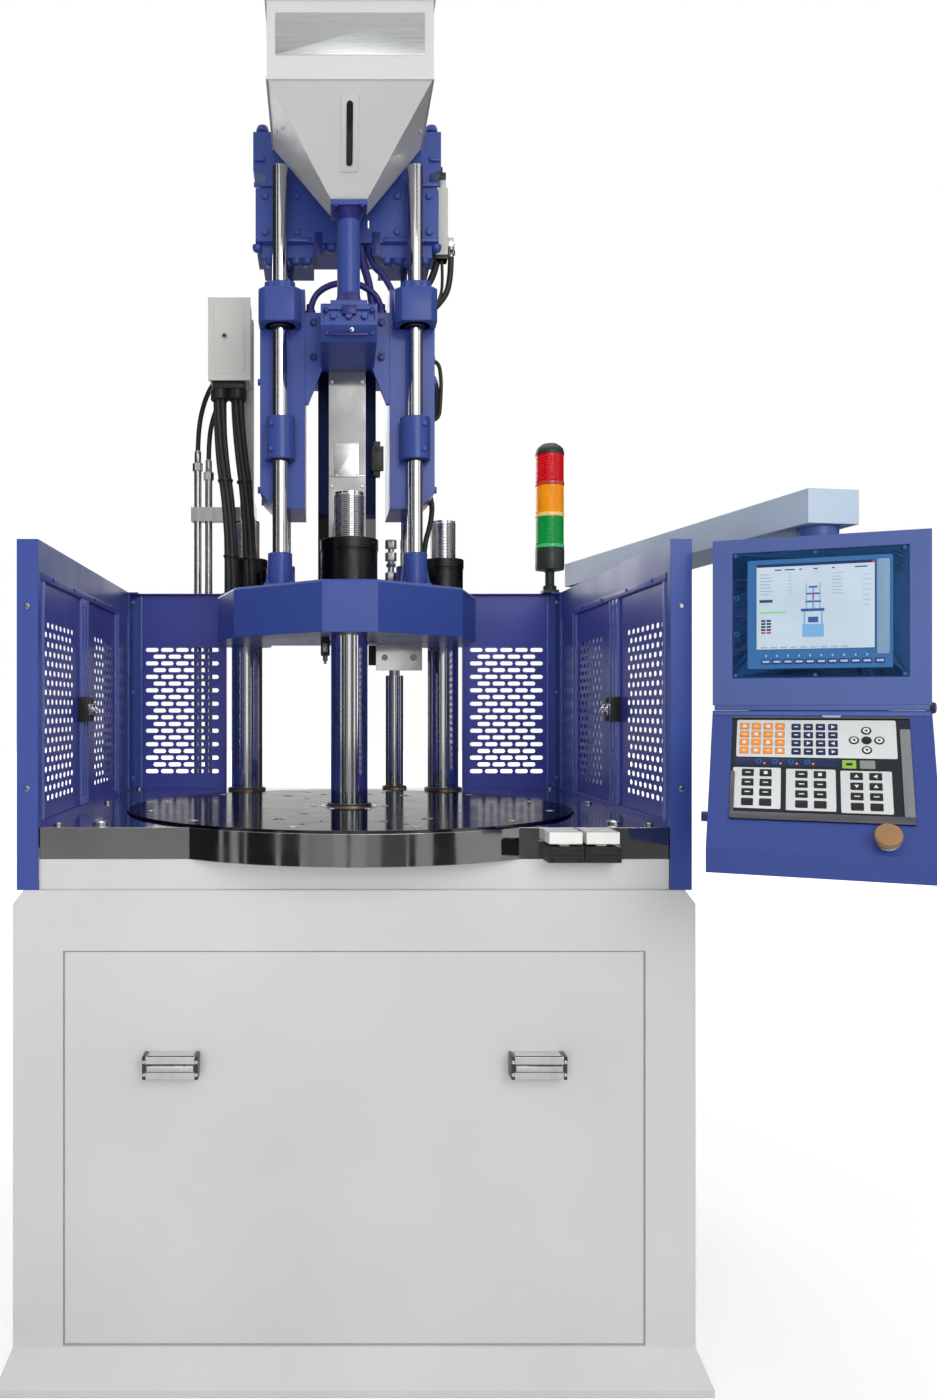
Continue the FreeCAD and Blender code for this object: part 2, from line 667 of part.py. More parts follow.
def make_rotary_table():
    """Turning disc with tapped mould holes, its ring gear and the drive pinion."""
    holes = [rod(TABLE_HOLE_R, TABLE_Z - 1, TABLE_TOP + 1)]
    half = MOULD_PITCH / 2
    for station in (-STATION_R, STATION_R):
        for x in (-half, half):
            for y in (station - half, station + half):
                holes.append(rod(MOULD_HOLE_R, TABLE_TOP - MOULD_HOLE_DEPTH, TABLE_TOP + 1, x, y))
    save("rotary_table", cut(rod(TABLE_R, TABLE_Z, TABLE_TOP), holes))
    gear = make_gear(GEAR_TEETH, TABLE_Z - GEAR_T, TABLE_Z, 0.0)
    inner = PITCH_R - 1.2 * GEAR_MODULE - GEAR_RIM
    save("ring_gear", gear.cut(rod(inner, TABLE_Z - GEAR_T - 1, TABLE_Z + 1)))
    pinion = make_gear(PINION_TEETH, TABLE_Z - GEAR_T, TABLE_Z - SEAT_GAP, math.pi / PINION_TEETH)
    shaft = rod(PINION_SHAFT_R, BED_Z - PINION_SEAT, TABLE_Z - GEAR_T + 1)
    pinion = join([pinion, shaft])
    pinion.translate(V(PINION_X, 0, 0))
    save("drive_pinion", pinion)


def make_index_motor():
    """Square-bodied motor below the bed that turns the table."""
    h = MOTOR_HALF
    can = box(PINION_X - h, PINION_X + h, -h, h, BED_Z - MOTOR_H, BED_Z - 10)
    f = MOTOR_FLANGE
    flange = box(PINION_X - f, PINION_X + f, -f, f, BED_Z - 16, BED_Z)
    seat = rod(PINION_SHAFT_R + RUN_GAP, BED_Z - PINION_SEAT - 2, BED_Z + 1, PINION_X, 0)
    save("index_motor", join([can, flange]).cut(seat))


def make_hydraulics():
    """Oil tank, pump motor and pump on the cabinet floor."""
    x0, x1 = TANK_X
    y0, y1 = TANK_Y
    rim = TANK_RIM
    tank = join([box(x0, x1, y0, y1, FLOOR_T, FLOOR_T + TANK_H),
                 box(x0 - rim, x1 + rim, y0 - rim, y1 + rim, FLOOR_T + TANK_H, FLOOR_T + TANK_H + rim)])
    save("oil_tank", tank)
    z = PUMP_MOTOR_Z
    r = PUMP_MOTOR_R
    x_end = PUMP_AXIS_X + PUMP_MOTOR_LEN
    can = Part.makeCylinder(r, PUMP_MOTOR_LEN, V(PUMP_AXIS_X, PUMP_Y, z), V(1, 0, 0))
    feet = box(PUMP_AXIS_X + 40, x_end - 40, PUMP_Y - r * 0.8, PUMP_Y + r * 0.8, FLOOR_T, z - r * 0.5)
    x_box = PUMP_AXIS_X + TERMINAL_IN
    terminal = box(x_box, x_box + TERMINAL_LEN, PUMP_Y - TERMINAL_HALF, PUMP_Y + TERMINAL_HALF,
                   z + r * 0.8, z + r + 45)
    pump = Part.makeCylinder(PUMP_R, PUMP_LEN, V(PUMP_AXIS_X - PUMP_LEN, PUMP_Y, z), V(1, 0, 0))
    port = Part.makeCylinder(PUMP_R * 0.4, PUMP_LEN, V(TANK_X[1], PUMP_Y, z), V(1, 0, 0))
    save("pump_set", join([can, feet, terminal]), join([pump, port]))


# ---------------------------------------------------------------- clamp unit
def make_clamp_cylinder():
    """Cylinder hung below the bed, and its piston and rod."""
    y = CYL_Y
    body = join([
        rod(CYL_R, CYL_LOW, BED_Z, 0, y),
        rod(CYL_FLANGE_R, BED_Z - CYL_FLANGE_T, BED_Z, 0, y),
    ])
    bore = rod(CYL_BORE_R, CYL_LOW + CYL_GLAND, BED_Z - CYL_HEAD, 0, y)
    gland = rod(CLAMP_ROD_R + RUN_GAP, CYL_LOW - 1, CYL_LOW + CYL_GLAND + 1, 0, y)
    save("clamp_cylinder", cut(body, [bore, gland]))
    top = LOWER_Z + LOWER_T
    piston = join([
        rod(CLAMP_ROD_R, top, PISTON_TOP, 0, y),
        rod(CYL_BORE_R - RUN_GAP, PISTON_TOP - PISTON_T, PISTON_TOP, 0, y),
        rod(CLAMP_ROD_END_R, LOWER_Z, top, 0, y),
    ])
    save("clamp_rod", piston)


def make_lower_crosshead():
    """Plate inside the cabinet that joins the three columns to the clamp rod."""
    e = LOWER_EDGE
    x = REAR_COL_X
    y = REAR_COL_Y
    outline = [(-e, -e), (e, -e), (x + e, y - e), (x + e, y + e), (-x - e, y + e), (-x - e, y - e)]
    holes = [rod(COLUMN_THREAD_R + FIT_GAP, LOWER_Z - 1, LOWER_Z + LOWER_T + 1, cx, cy)
             for cx, cy in COLUMN_SPOTS]
    holes.append(rod(CLAMP_ROD_END_R + FIT_GAP, LOWER_Z - 1, LOWER_Z + LOWER_T + 1, 0, CYL_Y))
    save("lower_crosshead", cut(plate(outline, LOWER_Z, LOWER_Z + LOWER_T), holes))


def make_columns():
    """Three chromed columns with threaded ends, and the nuts on both ends."""
    columns = []
    for x, y in COLUMN_SPOTS:
        thread_top = PLATEN_TOP + (REAR_THREAD_H if y > 0 else FRONT_THREAD_H)
        columns.append(join([
            rod(COLUMN_R, LOWER_Z + LOWER_T, PLATEN_TOP, x, y),
            rod(COLUMN_THREAD_R, LOWER_Z, thread_top, x, y),
        ]))
    save("front_column", columns[0])
    save("rear_columns", columns[1], columns[2])
    nuts = []
    for x, y in COLUMN_SPOTS:
        r = REAR_NUT_R if y > 0 else FRONT_NUT_R
        h = REAR_NUT_H if y > 0 else FRONT_NUT_H
        nuts.append(ring(r, COLUMN_THREAD_R + FIT_GAP, PLATEN_TOP, PLATEN_TOP + h, x, y))
        nuts.append(hexagon(LOWER_NUT_R, LOWER_Z - LOWER_NUT_H, LOWER_Z, x, y))
    nuts.append(hexagon(LOWER_NUT_R, LOWER_Z - LOWER_NUT_H, LOWER_Z, 0, CYL_Y))
    save("column_nuts", *nuts)


def platen_outline():
    """Plan of the upper platen: a nose at the front column and two lobes at the rear ones."""
    right = [(PLATEN_NOSE_HALF, PLATEN_NOSE_Y), PLATEN_FRONT, PLATEN_SIDE,
             (PLATEN_REAR_X, PLATEN_REAR_Y - 60), (PLATEN_REAR_X - 50, PLATEN_REAR_Y),
             (PLATEN_LOBE_IN + 30, PLATEN_REAR_Y), (PLATEN_LOBE_IN, PLATEN_REAR_Y - 30),
             (PLATEN_LOBE_IN, PLATEN_NOTCH_Y)]
    return right + [(-x, y) for x, y in reversed(right)]


def make_upper_platen():
    """Cast platen with column holes, the nozzle hole and tapped holes for the mould."""
    body = plate(platen_outline(), PLATEN_Z, PLATEN_TOP)
    edges = [e for e in body.Edges
             if abs(e.BoundBox.ZMin - PLATEN_TOP) < 0.1 and e.BoundBox.YMin < PLATEN_SIDE[1]]
    body = body.makeChamfer(PLATEN_EDGE, edges)
    holes = [rod(COLUMN_R + FIT_GAP, PLATEN_Z - 1, PLATEN_TOP + 1, x, y) for x, y in COLUMN_SPOTS]
    holes.append(rod(SPRUE_R, PLATEN_Z - 1, PLATEN_TOP + 1, 0, INJECT_Y))
    for x in (-PLATEN_BOLT_X / 2, PLATEN_BOLT_X / 2):
        for y in (INJECT_Y - PLATEN_BOLT_Y / 2, INJECT_Y + PLATEN_BOLT_Y / 2):
            holes.append(rod(MOULD_HOLE_R, PLATEN_Z - 1, PLATEN_Z + PLATEN_BOLT_DEPTH, x, y))
    save("upper_platen", cut(body, holes))


def make_guide_rods():
    """Four chromed rods that carry the injection unit, and their flanged bosses."""
    rods = []
    bosses = []
    f = BOSS_FLANGE_HALF
    for x, y in ROD_SPOTS:
        rods.append(rod(ROD_R, PLATEN_TOP, ROD_TOP, x, y))
        boss = join([
            rod(BOSS_R, PLATEN_TOP, PLATEN_TOP + BOSS_H, x, y),
            box(x - f, x + f, y - f, y + f, PLATEN_TOP, PLATEN_TOP + BOSS_FLANGE_T),
        ])
        bosses.append(boss.cut(rod(ROD_R + FIT_GAP, PLATEN_Z, ROD_TOP, x, y)))
    save("guide_rods", *rods)
    save("rod_bosses", *bosses)


def make_safety_rod():
    """Stepped safety rod that runs through the bed, and the bracket that carries it."""
    save("safety_rod", join([
        rod(SAFETY_R, SAFETY_LOW, SAFETY_SHOULDER, SAFETY_X, SAFETY_Y),
        rod(SAFETY_NECK_R, SAFETY_SHOULDER, PLATEN_Z - BRACKET_T, SAFETY_X, SAFETY_Y),
    ]))
    x0 = SAFETY_X - BRACKET_HALF
    x1 = SAFETY_X + BRACKET_HALF
    top = box(x0, x1, BRACKET_Y0, BRACKET_Y1, PLATEN_Z - BRACKET_T, PLATEN_Z)
    low = PLATEN_Z - BRACKET_DROP
    front = box(x0, x1, BRACKET_Y0, BRACKET_Y0 + BRACKET_T, low, PLATEN_Z)
    block = box(x0, x1, SAFETY_Y - 45, BRACKET_Y1, PLATEN_Z - 40, PLATEN_Z)
    neck = rod(SAFETY_NECK_R + FIT_GAP, PLATEN_Z - 60, PLATEN_Z - BRACKET_T, SAFETY_X, SAFETY_Y)
    save("safety_bracket", join([top, front, block]).cut(neck))


# ---------------------------------------------------------------- injection carriage
def make_injection_crosshead():
    """Casting between the two cylinder blocks, with the barrel seat and the feed nose."""
    beam = box(-BLOCK_IN, BLOCK_IN, BLOCK_FRONT, BLOCK_BACK, BEAM_LOW, BEAM_HIGH)
    nose_points = [(SEAT_FRONT, SEAT_LOW + 30), (SEAT_FRONT + 30, SEAT_LOW), (BLOCK_FRONT + 1, BEAM_LOW),
                   (BLOCK_FRONT + 1, BEAM_HIGH), (BLOCK_FRONT - NOSE_RAMP, BEAM_HIGH),
                   (BLOCK_FRONT - NOSE_STEP, SEAT_TOP), (SEAT_FRONT, SEAT_TOP)]
    nose = side_profile(nose_points, -SEAT_HALF, SEAT_HALF)
    gusset_points = [(BLOCK_IN, BEAM_LOW), (BLOCK_IN, BEAM_LOW - GUSSET_DROP),
                     (BLOCK_IN - 8, BEAM_LOW - GUSSET_DROP), (BLOCK_IN - GUSSET_OUT, BEAM_LOW)]
    gusset = front_profile(gusset_points, BLOCK_FRONT, BLOCK_FRONT + GUSSET_T)
    body = join([beam, nose, gusset, mirror_x(gusset)])
    seat = rod(BARREL_R + FIT_GAP, BEAM_LOW - 1, BEAM_HIGH + 1, 0, INJECT_Y)
    half = SEAT_HALF - FACE_MARGIN
    face_recess = box(-half, half, SEAT_FRONT - 1, SEAT_FRONT + FACE_DEPTH, SEAT_LOW + 38, SEAT_TOP - 10)
    throat = rod(FEED_BORE_R, SEAT_TOP - 40, SEAT_TOP + 1, 0, FEED_Y)
    body = cut(body, [seat, face_recess, throat])
    bolts = []
    for x in (-36, 0, 36):
        bolt = hexagon(8, 0, 10, 0, 0)
        bolt.rotate(V(0, 0, 0), V(1, 0, 0), 90)
        bolt.translate(V(x, SEAT_FRONT + FACE_DEPTH, SEAT_LOW + 52))
        bolts.append(bolt)
    save("injection_crosshead", body, *bolts)


def make_injection_cylinders():
    """Two cylinder blocks with the sleeves that slide on the guide rods."""
    c = BLOCK_CHAMFER
    outline = [(BLOCK_IN, BLOCK_HIGH), (BLOCK_IN, BLOCK_LOW), (BLOCK_OUT - c, BLOCK_LOW),
               (BLOCK_OUT, BLOCK_LOW + c), (BLOCK_OUT, BLOCK_HIGH)]
    parts = [front_profile(outline, BLOCK_FRONT, BLOCK_BACK)]
    r = SLEEVE_R
    for y in (ROD_FRONT_Y, ROD_REAR_Y):
        for low, high in SLEEVE_SPANS:
            z0 = BLOCK_LOW + low
            z1 = BLOCK_LOW + high
            if y == ROD_FRONT_Y:
                parts.append(rod(r, z0, z1, ROD_X, y))
            else:
                parts.append(box(ROD_X - r, ROD_X + r, BLOCK_BACK - 1, y + r, z0, z1))
    body = join(parts)
    tools = [rod(ROD_R + RUN_GAP, BLOCK_LOW - 1, BLOCK_HIGH + 1, ROD_X, y) for y in (ROD_FRONT_Y, ROD_REAR_Y)]
    tools.append(rod(PISTON_ROD_R + RUN_GAP, BLOCK_LOW + CYL_BORE_UP, BLOCK_HIGH + 1,
                     PISTON_ROD_X, PISTON_ROD_Y))
    body = cut(body, tools)
    save("injection_cylinders", body, mirror_x(body))


def make_injection_hoses():
    """Pressure hose between the two blocks and the cable loop beside the right one."""
    y = BLOCK_FRONT + BRIDGE_IN
    bridge = tube_path([(x, y, BEAM_HIGH + z) for x, z in BRIDGE], BRIDGE_R)
    y = BLOCK_FRONT + LOOP_IN
    loop = tube_path([(BLOCK_OUT + x, y, BLOCK_LOW + z) for x, z in LOOP], LOOP_R)
    save("injection_hoses", bridge, loop)


def make_barrel():
    """Plasticizing barrel with its nozzle and heater bands, and the octagonal cover round it."""
    y = INJECT_Y
    cone = Part.makeCone(NOZZLE_TIP_R, NOZZLE_R, NOZZLE_BODY_Z - NOZZLE_TIP_Z, V(0, y, NOZZLE_TIP_Z))
    body = join([cone, rod(NOZZLE_R, NOZZLE_BODY_Z, BARREL_LOW, 0, y),
                 rod(BARREL_R, BARREL_LOW, BEAM_HIGH, 0, y)])
    bore = [rod(BARREL_BORE_R + RUN_GAP, BARREL_LOW - 40, BEAM_HIGH + 1, 0, y),
            rod(3.0, NOZZLE_TIP_Z - 1, BARREL_LOW, 0, y)]
    body = cut(body, bore)
    bands = []
    for k in range(BAND_HEATER_COUNT):
        z0 = BARREL_LOW + 10 + k * BAND_HEATER_PITCH
        bands.append(ring(BAND_HEATER_R, BARREL_R + FIT_GAP, z0, z0 + BAND_HEATER_H, 0, y))
    save("barrel", body, *bands)
    inside = octagon(SHROUD_HALF - SHROUD_T, SHROUD_FACE - SHROUD_T * 0.4)
    save("barrel_cover", octagon(SHROUD_HALF, SHROUD_FACE).cut(inside))


def octagon(half, face):
    """Upright octagonal block round the injection axis, with wide front and side faces."""
    points = [(-face, -half), (face, -half), (half, -face), (half, face),
              (face, half), (-face, half), (-half, face), (-half, -face)]
    return plate([(x, y + INJECT_Y) for x, y in points], PLATEN_TOP + SHROUD_UP, BEAM_LOW)


def make_feed():
    """Feed tube with its two flanges, between the crosshead nose and the hopper."""
    f = FEED_FLANGE_HALF
    tube = join([
        rod(FEED_R, SEAT_TOP, FEED_TOP, 0, FEED_Y),
        box(-f, f, FEED_Y - f, FEED_Y + f, SEAT_TOP, SEAT_TOP + FEED_FLANGE_T),
        box(-f, f, FEED_Y - f, FEED_Y + f, FEED_TOP - FEED_FLANGE_T, FEED_TOP),
    ])
    save("feed_tube", tube.cut(rod(FEED_BORE_R, SEAT_TOP - 1, FEED_TOP + 1, 0, FEED_Y)))


def make_hopper():
    """Sheet-metal hopper with a square bin, a pyramid below it, a sight glass and a lid."""
    front = FEED_Y - HOPPER_DEPTH / 2
    back = FEED_Y + HOPPER_DEPTH / 2
    n = HOPPER_NECK
    t = HOPPER_T
    wide = (-HOPPER_HALF, HOPPER_HALF, front, back)
    neck = (-n, n, FEED_Y - n, FEED_Y + n)
    outer = join([box(*wide, HOPPER_MID, HOPPER_TOP), frustum(neck, wide, FEED_TOP, HOPPER_MID)])
    wide_in = (-HOPPER_HALF + t, HOPPER_HALF - t, front + t, back - t)
    neck_in = (-n + t, n - t, FEED_Y - n + t, FEED_Y + n - t)
    inner = join([box(*wide_in, HOPPER_MID, HOPPER_TOP + 1),
                  frustum(neck_in, wide_in, FEED_TOP + t, HOPPER_MID)])
    outlet = rod(FEED_BORE_R, FEED_TOP - 1, FEED_TOP + t + 1, 0, FEED_Y)
    slot = box(-GLASS_W / 2, GLASS_W / 2, front - 1, FEED_Y, GLASS_LOW, GLASS_HIGH)
    axis_y = back + LID_AXIS_OUT
    ears = []
    knuckles = []
    for side in (-1, 1):
        near, far = LID_HINGES
        spans = [sorted((side * (near - SEAT_GAP - LID_EAR_W), side * (near - SEAT_GAP))),
                 sorted((side * (far + SEAT_GAP), side * (far + SEAT_GAP + LID_EAR_W)))]
        for x0, x1 in spans:
            ears.append(lid_hinge_rod(LID_KNUCKLE_R, x0, x1, axis_y))
            ears.append(box(x0, x1, back - 1, axis_y, HOPPER_TOP - LID_EAR_DROP, HOPPER_TOP - LID_T))
        ears.append(lid_hinge_rod(LID_PIN_R, min(spans[0] + spans[1]), max(spans[0] + spans[1]), axis_y))
        x0, x1 = sorted((side * near, side * far))
        knuckles.append(lid_hinge_rod(LID_KNUCKLE_R, x0, x1, axis_y))
        knuckles.append(box(x0, x1, back - 1, axis_y, HOPPER_TOP, HOPPER_TOP + LID_T))
    bin_shell = cut(outer, [inner, outlet, slot])
    save("hopper", join([bin_shell] + ears))
    slope = (HOPPER_DEPTH / 2 - n) / (HOPPER_MID - FEED_TOP)
    y_low = FEED_Y - n - (GLASS_LOW - FEED_TOP) * slope
    y_high = FEED_Y - n - (GLASS_HIGH - FEED_TOP) * slope
    skew = [(y_low, GLASS_LOW + 1), (y_low + GLASS_T, GLASS_LOW + 1),
            (y_high + GLASS_T, GLASS_HIGH - 1), (y_high, GLASS_HIGH - 1)]
    save("sight_glass", side_profile(skew, -GLASS_W / 2 + 0.5, GLASS_W / 2 - 0.5))
    over = LID_OVER
    lid = box(-HOPPER_HALF - over, HOPPER_HALF + over, front - over, back, HOPPER_TOP, HOPPER_TOP + LID_T)
    knob = rod(LID_KNOB_R, HOPPER_TOP + LID_T - 1, HOPPER_TOP + LID_T + 22, 0, front + 40)
    lid = join([lid, knob] + knuckles)
    save("hopper_lid", lid.cut(lid_hinge_rod(LID_PIN_R + RUN_GAP, -HOPPER_HALF, HOPPER_HALF, axis_y)))


def lid_hinge_rod(r, x0, x1, y):
    """A cylinder along the lid's hinge axis."""
    return Part.makeCylinder(r, x1 - x0, V(x0, y, HOPPER_TOP), V(1, 0, 0))


# ---------------------------------------------------------------- thrust block and screw
def make_thrust_block():
    """Block pushed by the two piston rods; it carries the screw and its motor."""
    right = [(THRUST_V_FLOOR, THRUST_MID), (THRUST_V_HALF, THRUST_TOP), (THRUST_HALF, THRUST_TOP),
             (THRUST_HALF, THRUST_NECK_Z), (THRUST_NECK_HALF, THRUST_NECK_Z - 12),
             (THRUST_NECK_HALF, THRUST_MID + 12), (THRUST_HALF - 6, THRUST_MID),
             (THRUST_HALF - 6, THRUST_LOW)]
    outline = right + [(-x, z) for x, z in reversed(right)]
    body = front_profile(outline, THRUST_FRONT, THRUST_BACK)
    foot = box(FOOT_IN, FOOT_OUT, THRUST_FRONT + 10, THRUST_BACK - 10, THRUST_LOW - FOOT_T, THRUST_LOW + 1)
    body = join([body, foot, mirror_x(foot)])
    drive = rod(SCREW_DRIVE_R + RUN_GAP, THRUST_LOW - 1, SCREW_TOP_Z + 1, 0, INJECT_Y)
    tools = [drive]
    for side in (-1, 1):
        tools.append(rod(PISTON_ROD_R + FIT_GAP, THRUST_LOW - FOOT_T - 1, THRUST_LOW + 40,
                         side * PISTON_ROD_X, PISTON_ROD_Y))
    body = cut(body, tools)
    bolts = []
    for side in (-1, 1):
        for x in (FOOT_IN + 18, (FOOT_IN + FOOT_OUT) / 2, FOOT_OUT - 18):
            z = THRUST_LOW - FOOT_T
            bolts.append(hexagon(HEX_R, z - HEX_H, z, side * x, THRUST_FRONT + 28))
        for x in (THRUST_HALF - 20, THRUST_HALF - 62):
            bolts.append(hexagon(HEX_R, THRUST_TOP, THRUST_TOP + HEX_H, side * x, THRUST_FRONT + 30))
    save("thrust_block", body, *bolts)
    rods = [rod(PISTON_ROD_R, BLOCK_LOW + PISTON_ROD_UP, THRUST_LOW + 39, side * PISTON_ROD_X, PISTON_ROD_Y)
            for side in (-1, 1)]
    save("piston_rods", *rods)
    r = HYD_MOTOR_R
    motor = join([
        box(-r, r, INJECT_Y - r, INJECT_Y + r, THRUST_MID, THRUST_MID + 30),
        rod(r, THRUST_MID + 29, THRUST_MID + HYD_MOTOR_H, 0, INJECT_Y),
        rod(HYD_MOTOR_CAP_R, THRUST_MID + HYD_MOTOR_H - 1, THRUST_MID + HYD_MOTOR_H + 24, 0, INJECT_Y),
    ])
    save("screw_motor", motor)
    y = INJECT_Y
    z0 = BARREL_LOW + SCREW_TIP_UP
    tip = Part.makeCone(2.0, SCREW_R, 40, V(0, y, z0))
    screw = join([tip, rod(SCREW_R, z0 + 40, THRUST_LOW, 0, y),
                  rod(SCREW_DRIVE_R, THRUST_LOW - 60, SCREW_TOP_Z, 0, y)])
    save("screw", screw)


def make_sensor():
    """Stroke transducer on the side of the thrust block, with its plug."""
    z0 = THRUST_LOW - SENSOR_DROP
    z1 = THRUST_MID + SENSOR_RISE
    x = THRUST_HALF - 6
    rail = box(x, x + 6 + SENSOR_OUT, SENSOR_Y, SENSOR_Y + SENSOR_D, z0, THRUST_MID - 2)
    upper = box(THRUST_HALF, THRUST_HALF + SENSOR_OUT, SENSOR_Y, SENSOR_Y + SENSOR_D, THRUST_MID - 3, z1)
    plug = rod(10, z1, z1 + 26, THRUST_HALF + SENSOR_OUT / 2, SENSOR_Y + SENSOR_D / 2)
    save("stroke_sensor", join([rail, upper]), plug)


# ---------------------------------------------------------------- services on the clamp unit
def tube_path(points, radius, bend=0):
    """Cable with eight flats along straight runs; its arcs are of one size, or as large as the runs allow."""
    edges = []
    bends = []
    start = V(*points[0])
    for k in range(1, len(points) - 1):
        corner = V(*points[k])
        into = corner - V(*points[k - 1])
        away = V(*points[k + 1]) - corner
        turn = into.getAngle(away)
        reach = bend * math.tan(turn / 2) or 0.45 * min(into.Length, away.Length)
        r = reach / math.tan(turn / 2)
        bends.append(r)
        into.normalize()
        away.normalize()
        a = corner - into * reach
        b = corner + away * reach
        middle = (away - into).normalize()
        mid = corner + middle * (r / math.cos(turn / 2) - r)
        edges.append(Part.LineSegment(start, a).toShape())
        edges.append(Part.Arc(a, mid, b).toShape())
        start = b
    edges.append(Part.LineSegment(start, V(*points[-1])).toShape())
    wire = Part.Wire(edges)
    mouth = V(*points[0])
    along = (V(*points[1]) - mouth).normalize()
    across_a = V(1, 0, 0) if abs(along.z) > 0.9 else V(0, 0, 1)
    across_b = along.cross(across_a)
    step = math.pi / 4
    corners = [mouth + across_a * (radius * math.cos(k * step)) + across_b * (radius * math.sin(k * step))
               for k in range(9)]
    profile = Part.Face(Part.makePolygon(corners))
    tube = wire.makePipe(profile)
    share = tube.Volume / (profile.Area * wire.Length)
    print("cable: length %.0f mm, least bend %.0f mm, volume over section times length %.4f"
          % (wire.Length, min(bends), share))
    return tube


def make_services():
    """Junction box on its post, the cables below it and the sliding oil pipes."""
    h = JPOST_HALF
    x = -REAR_COL_X
    post = box(x - h, x + h, REAR_COL_Y - h, REAR_COL_Y + h,
               PLATEN_TOP + REAR_THREAD_H, JBOX_Z[1] - 20)
    case = box(JBOX_X[0], JBOX_X[1], JBOX_Y[0], JBOX_Y[1], *JBOX_Z)
    lip = box(JBOX_X[0] - 3, JBOX_X[1] + 3, JBOX_Y[0] - 6, JBOX_Y[0], JBOX_Z[0] - 3, JBOX_Z[1] + 3)
    link = box(x - h, x + h, JBOX_Y[1] - 1, REAR_COL_Y - h + 1, JBOX_Z[0] + 20, JBOX_Z[1] - 20)
    save("junction_box", join([post, case, lip, link]))
    cables = []
    knee = PLATEN_TOP + KNEE_UP
    for k, (drop, (dx, dy)) in enumerate(zip(CABLE_DROPS, CABLE_FEET)):
        start_x = JBOX_X[0] + drop
        y = JBOX_Y[0] + CABLE_BACK
        foot = (x + dx, REAR_COL_Y + dy)
        cables.append(tube_path([(start_x, y, JBOX_Z[0]), (start_x, y, knee + KNEE_STEP * k),
                                 (*foot, PLATEN_TOP + ANKLE_UP), (*foot, PLATEN_TOP)],
                                CABLE_R, CABLE_BEND))
    for route in OIL_HOSES:
        points = [(PIPE_X + dx, PIPE_Y + dy, PIPE_TOP + dz) for dx, dy, dz in route]
        cables.append(tube_path(points, OIL_HOSE_R))
    save("cable_bundle", *cables)
    pipes = []
    holes = []
    for k in range(2):
        px = PIPE_X + k * PIPE_PITCH
        top = PIPE_TOP - k * PIPE_STEP
        pipes.append(rod(PIPE_R, PIPE_LOW, top, px, PIPE_Y))
        pipes.append(hexagon(PIPE_R + 4, top, top + 22, px, PIPE_Y))
        holes.append(rod(PIPE_R, PIPE_LOW, PIPE_TOP, px, PIPE_Y))
    clamp_high = PIPE_CLAMP_Z + PIPE_CLAMP_H
    strap = box(PIPE_X - 18, x + h, PIPE_Y - 16, PIPE_Y + 16, PIPE_CLAMP_Z, clamp_high)
    arm = box(x - h, x + h, REAR_COL_Y + h, PIPE_Y - 15, PIPE_CLAMP_Z, clamp_high)
    save("oil_pipes", *pipes, cut(join([strap, arm]), holes))


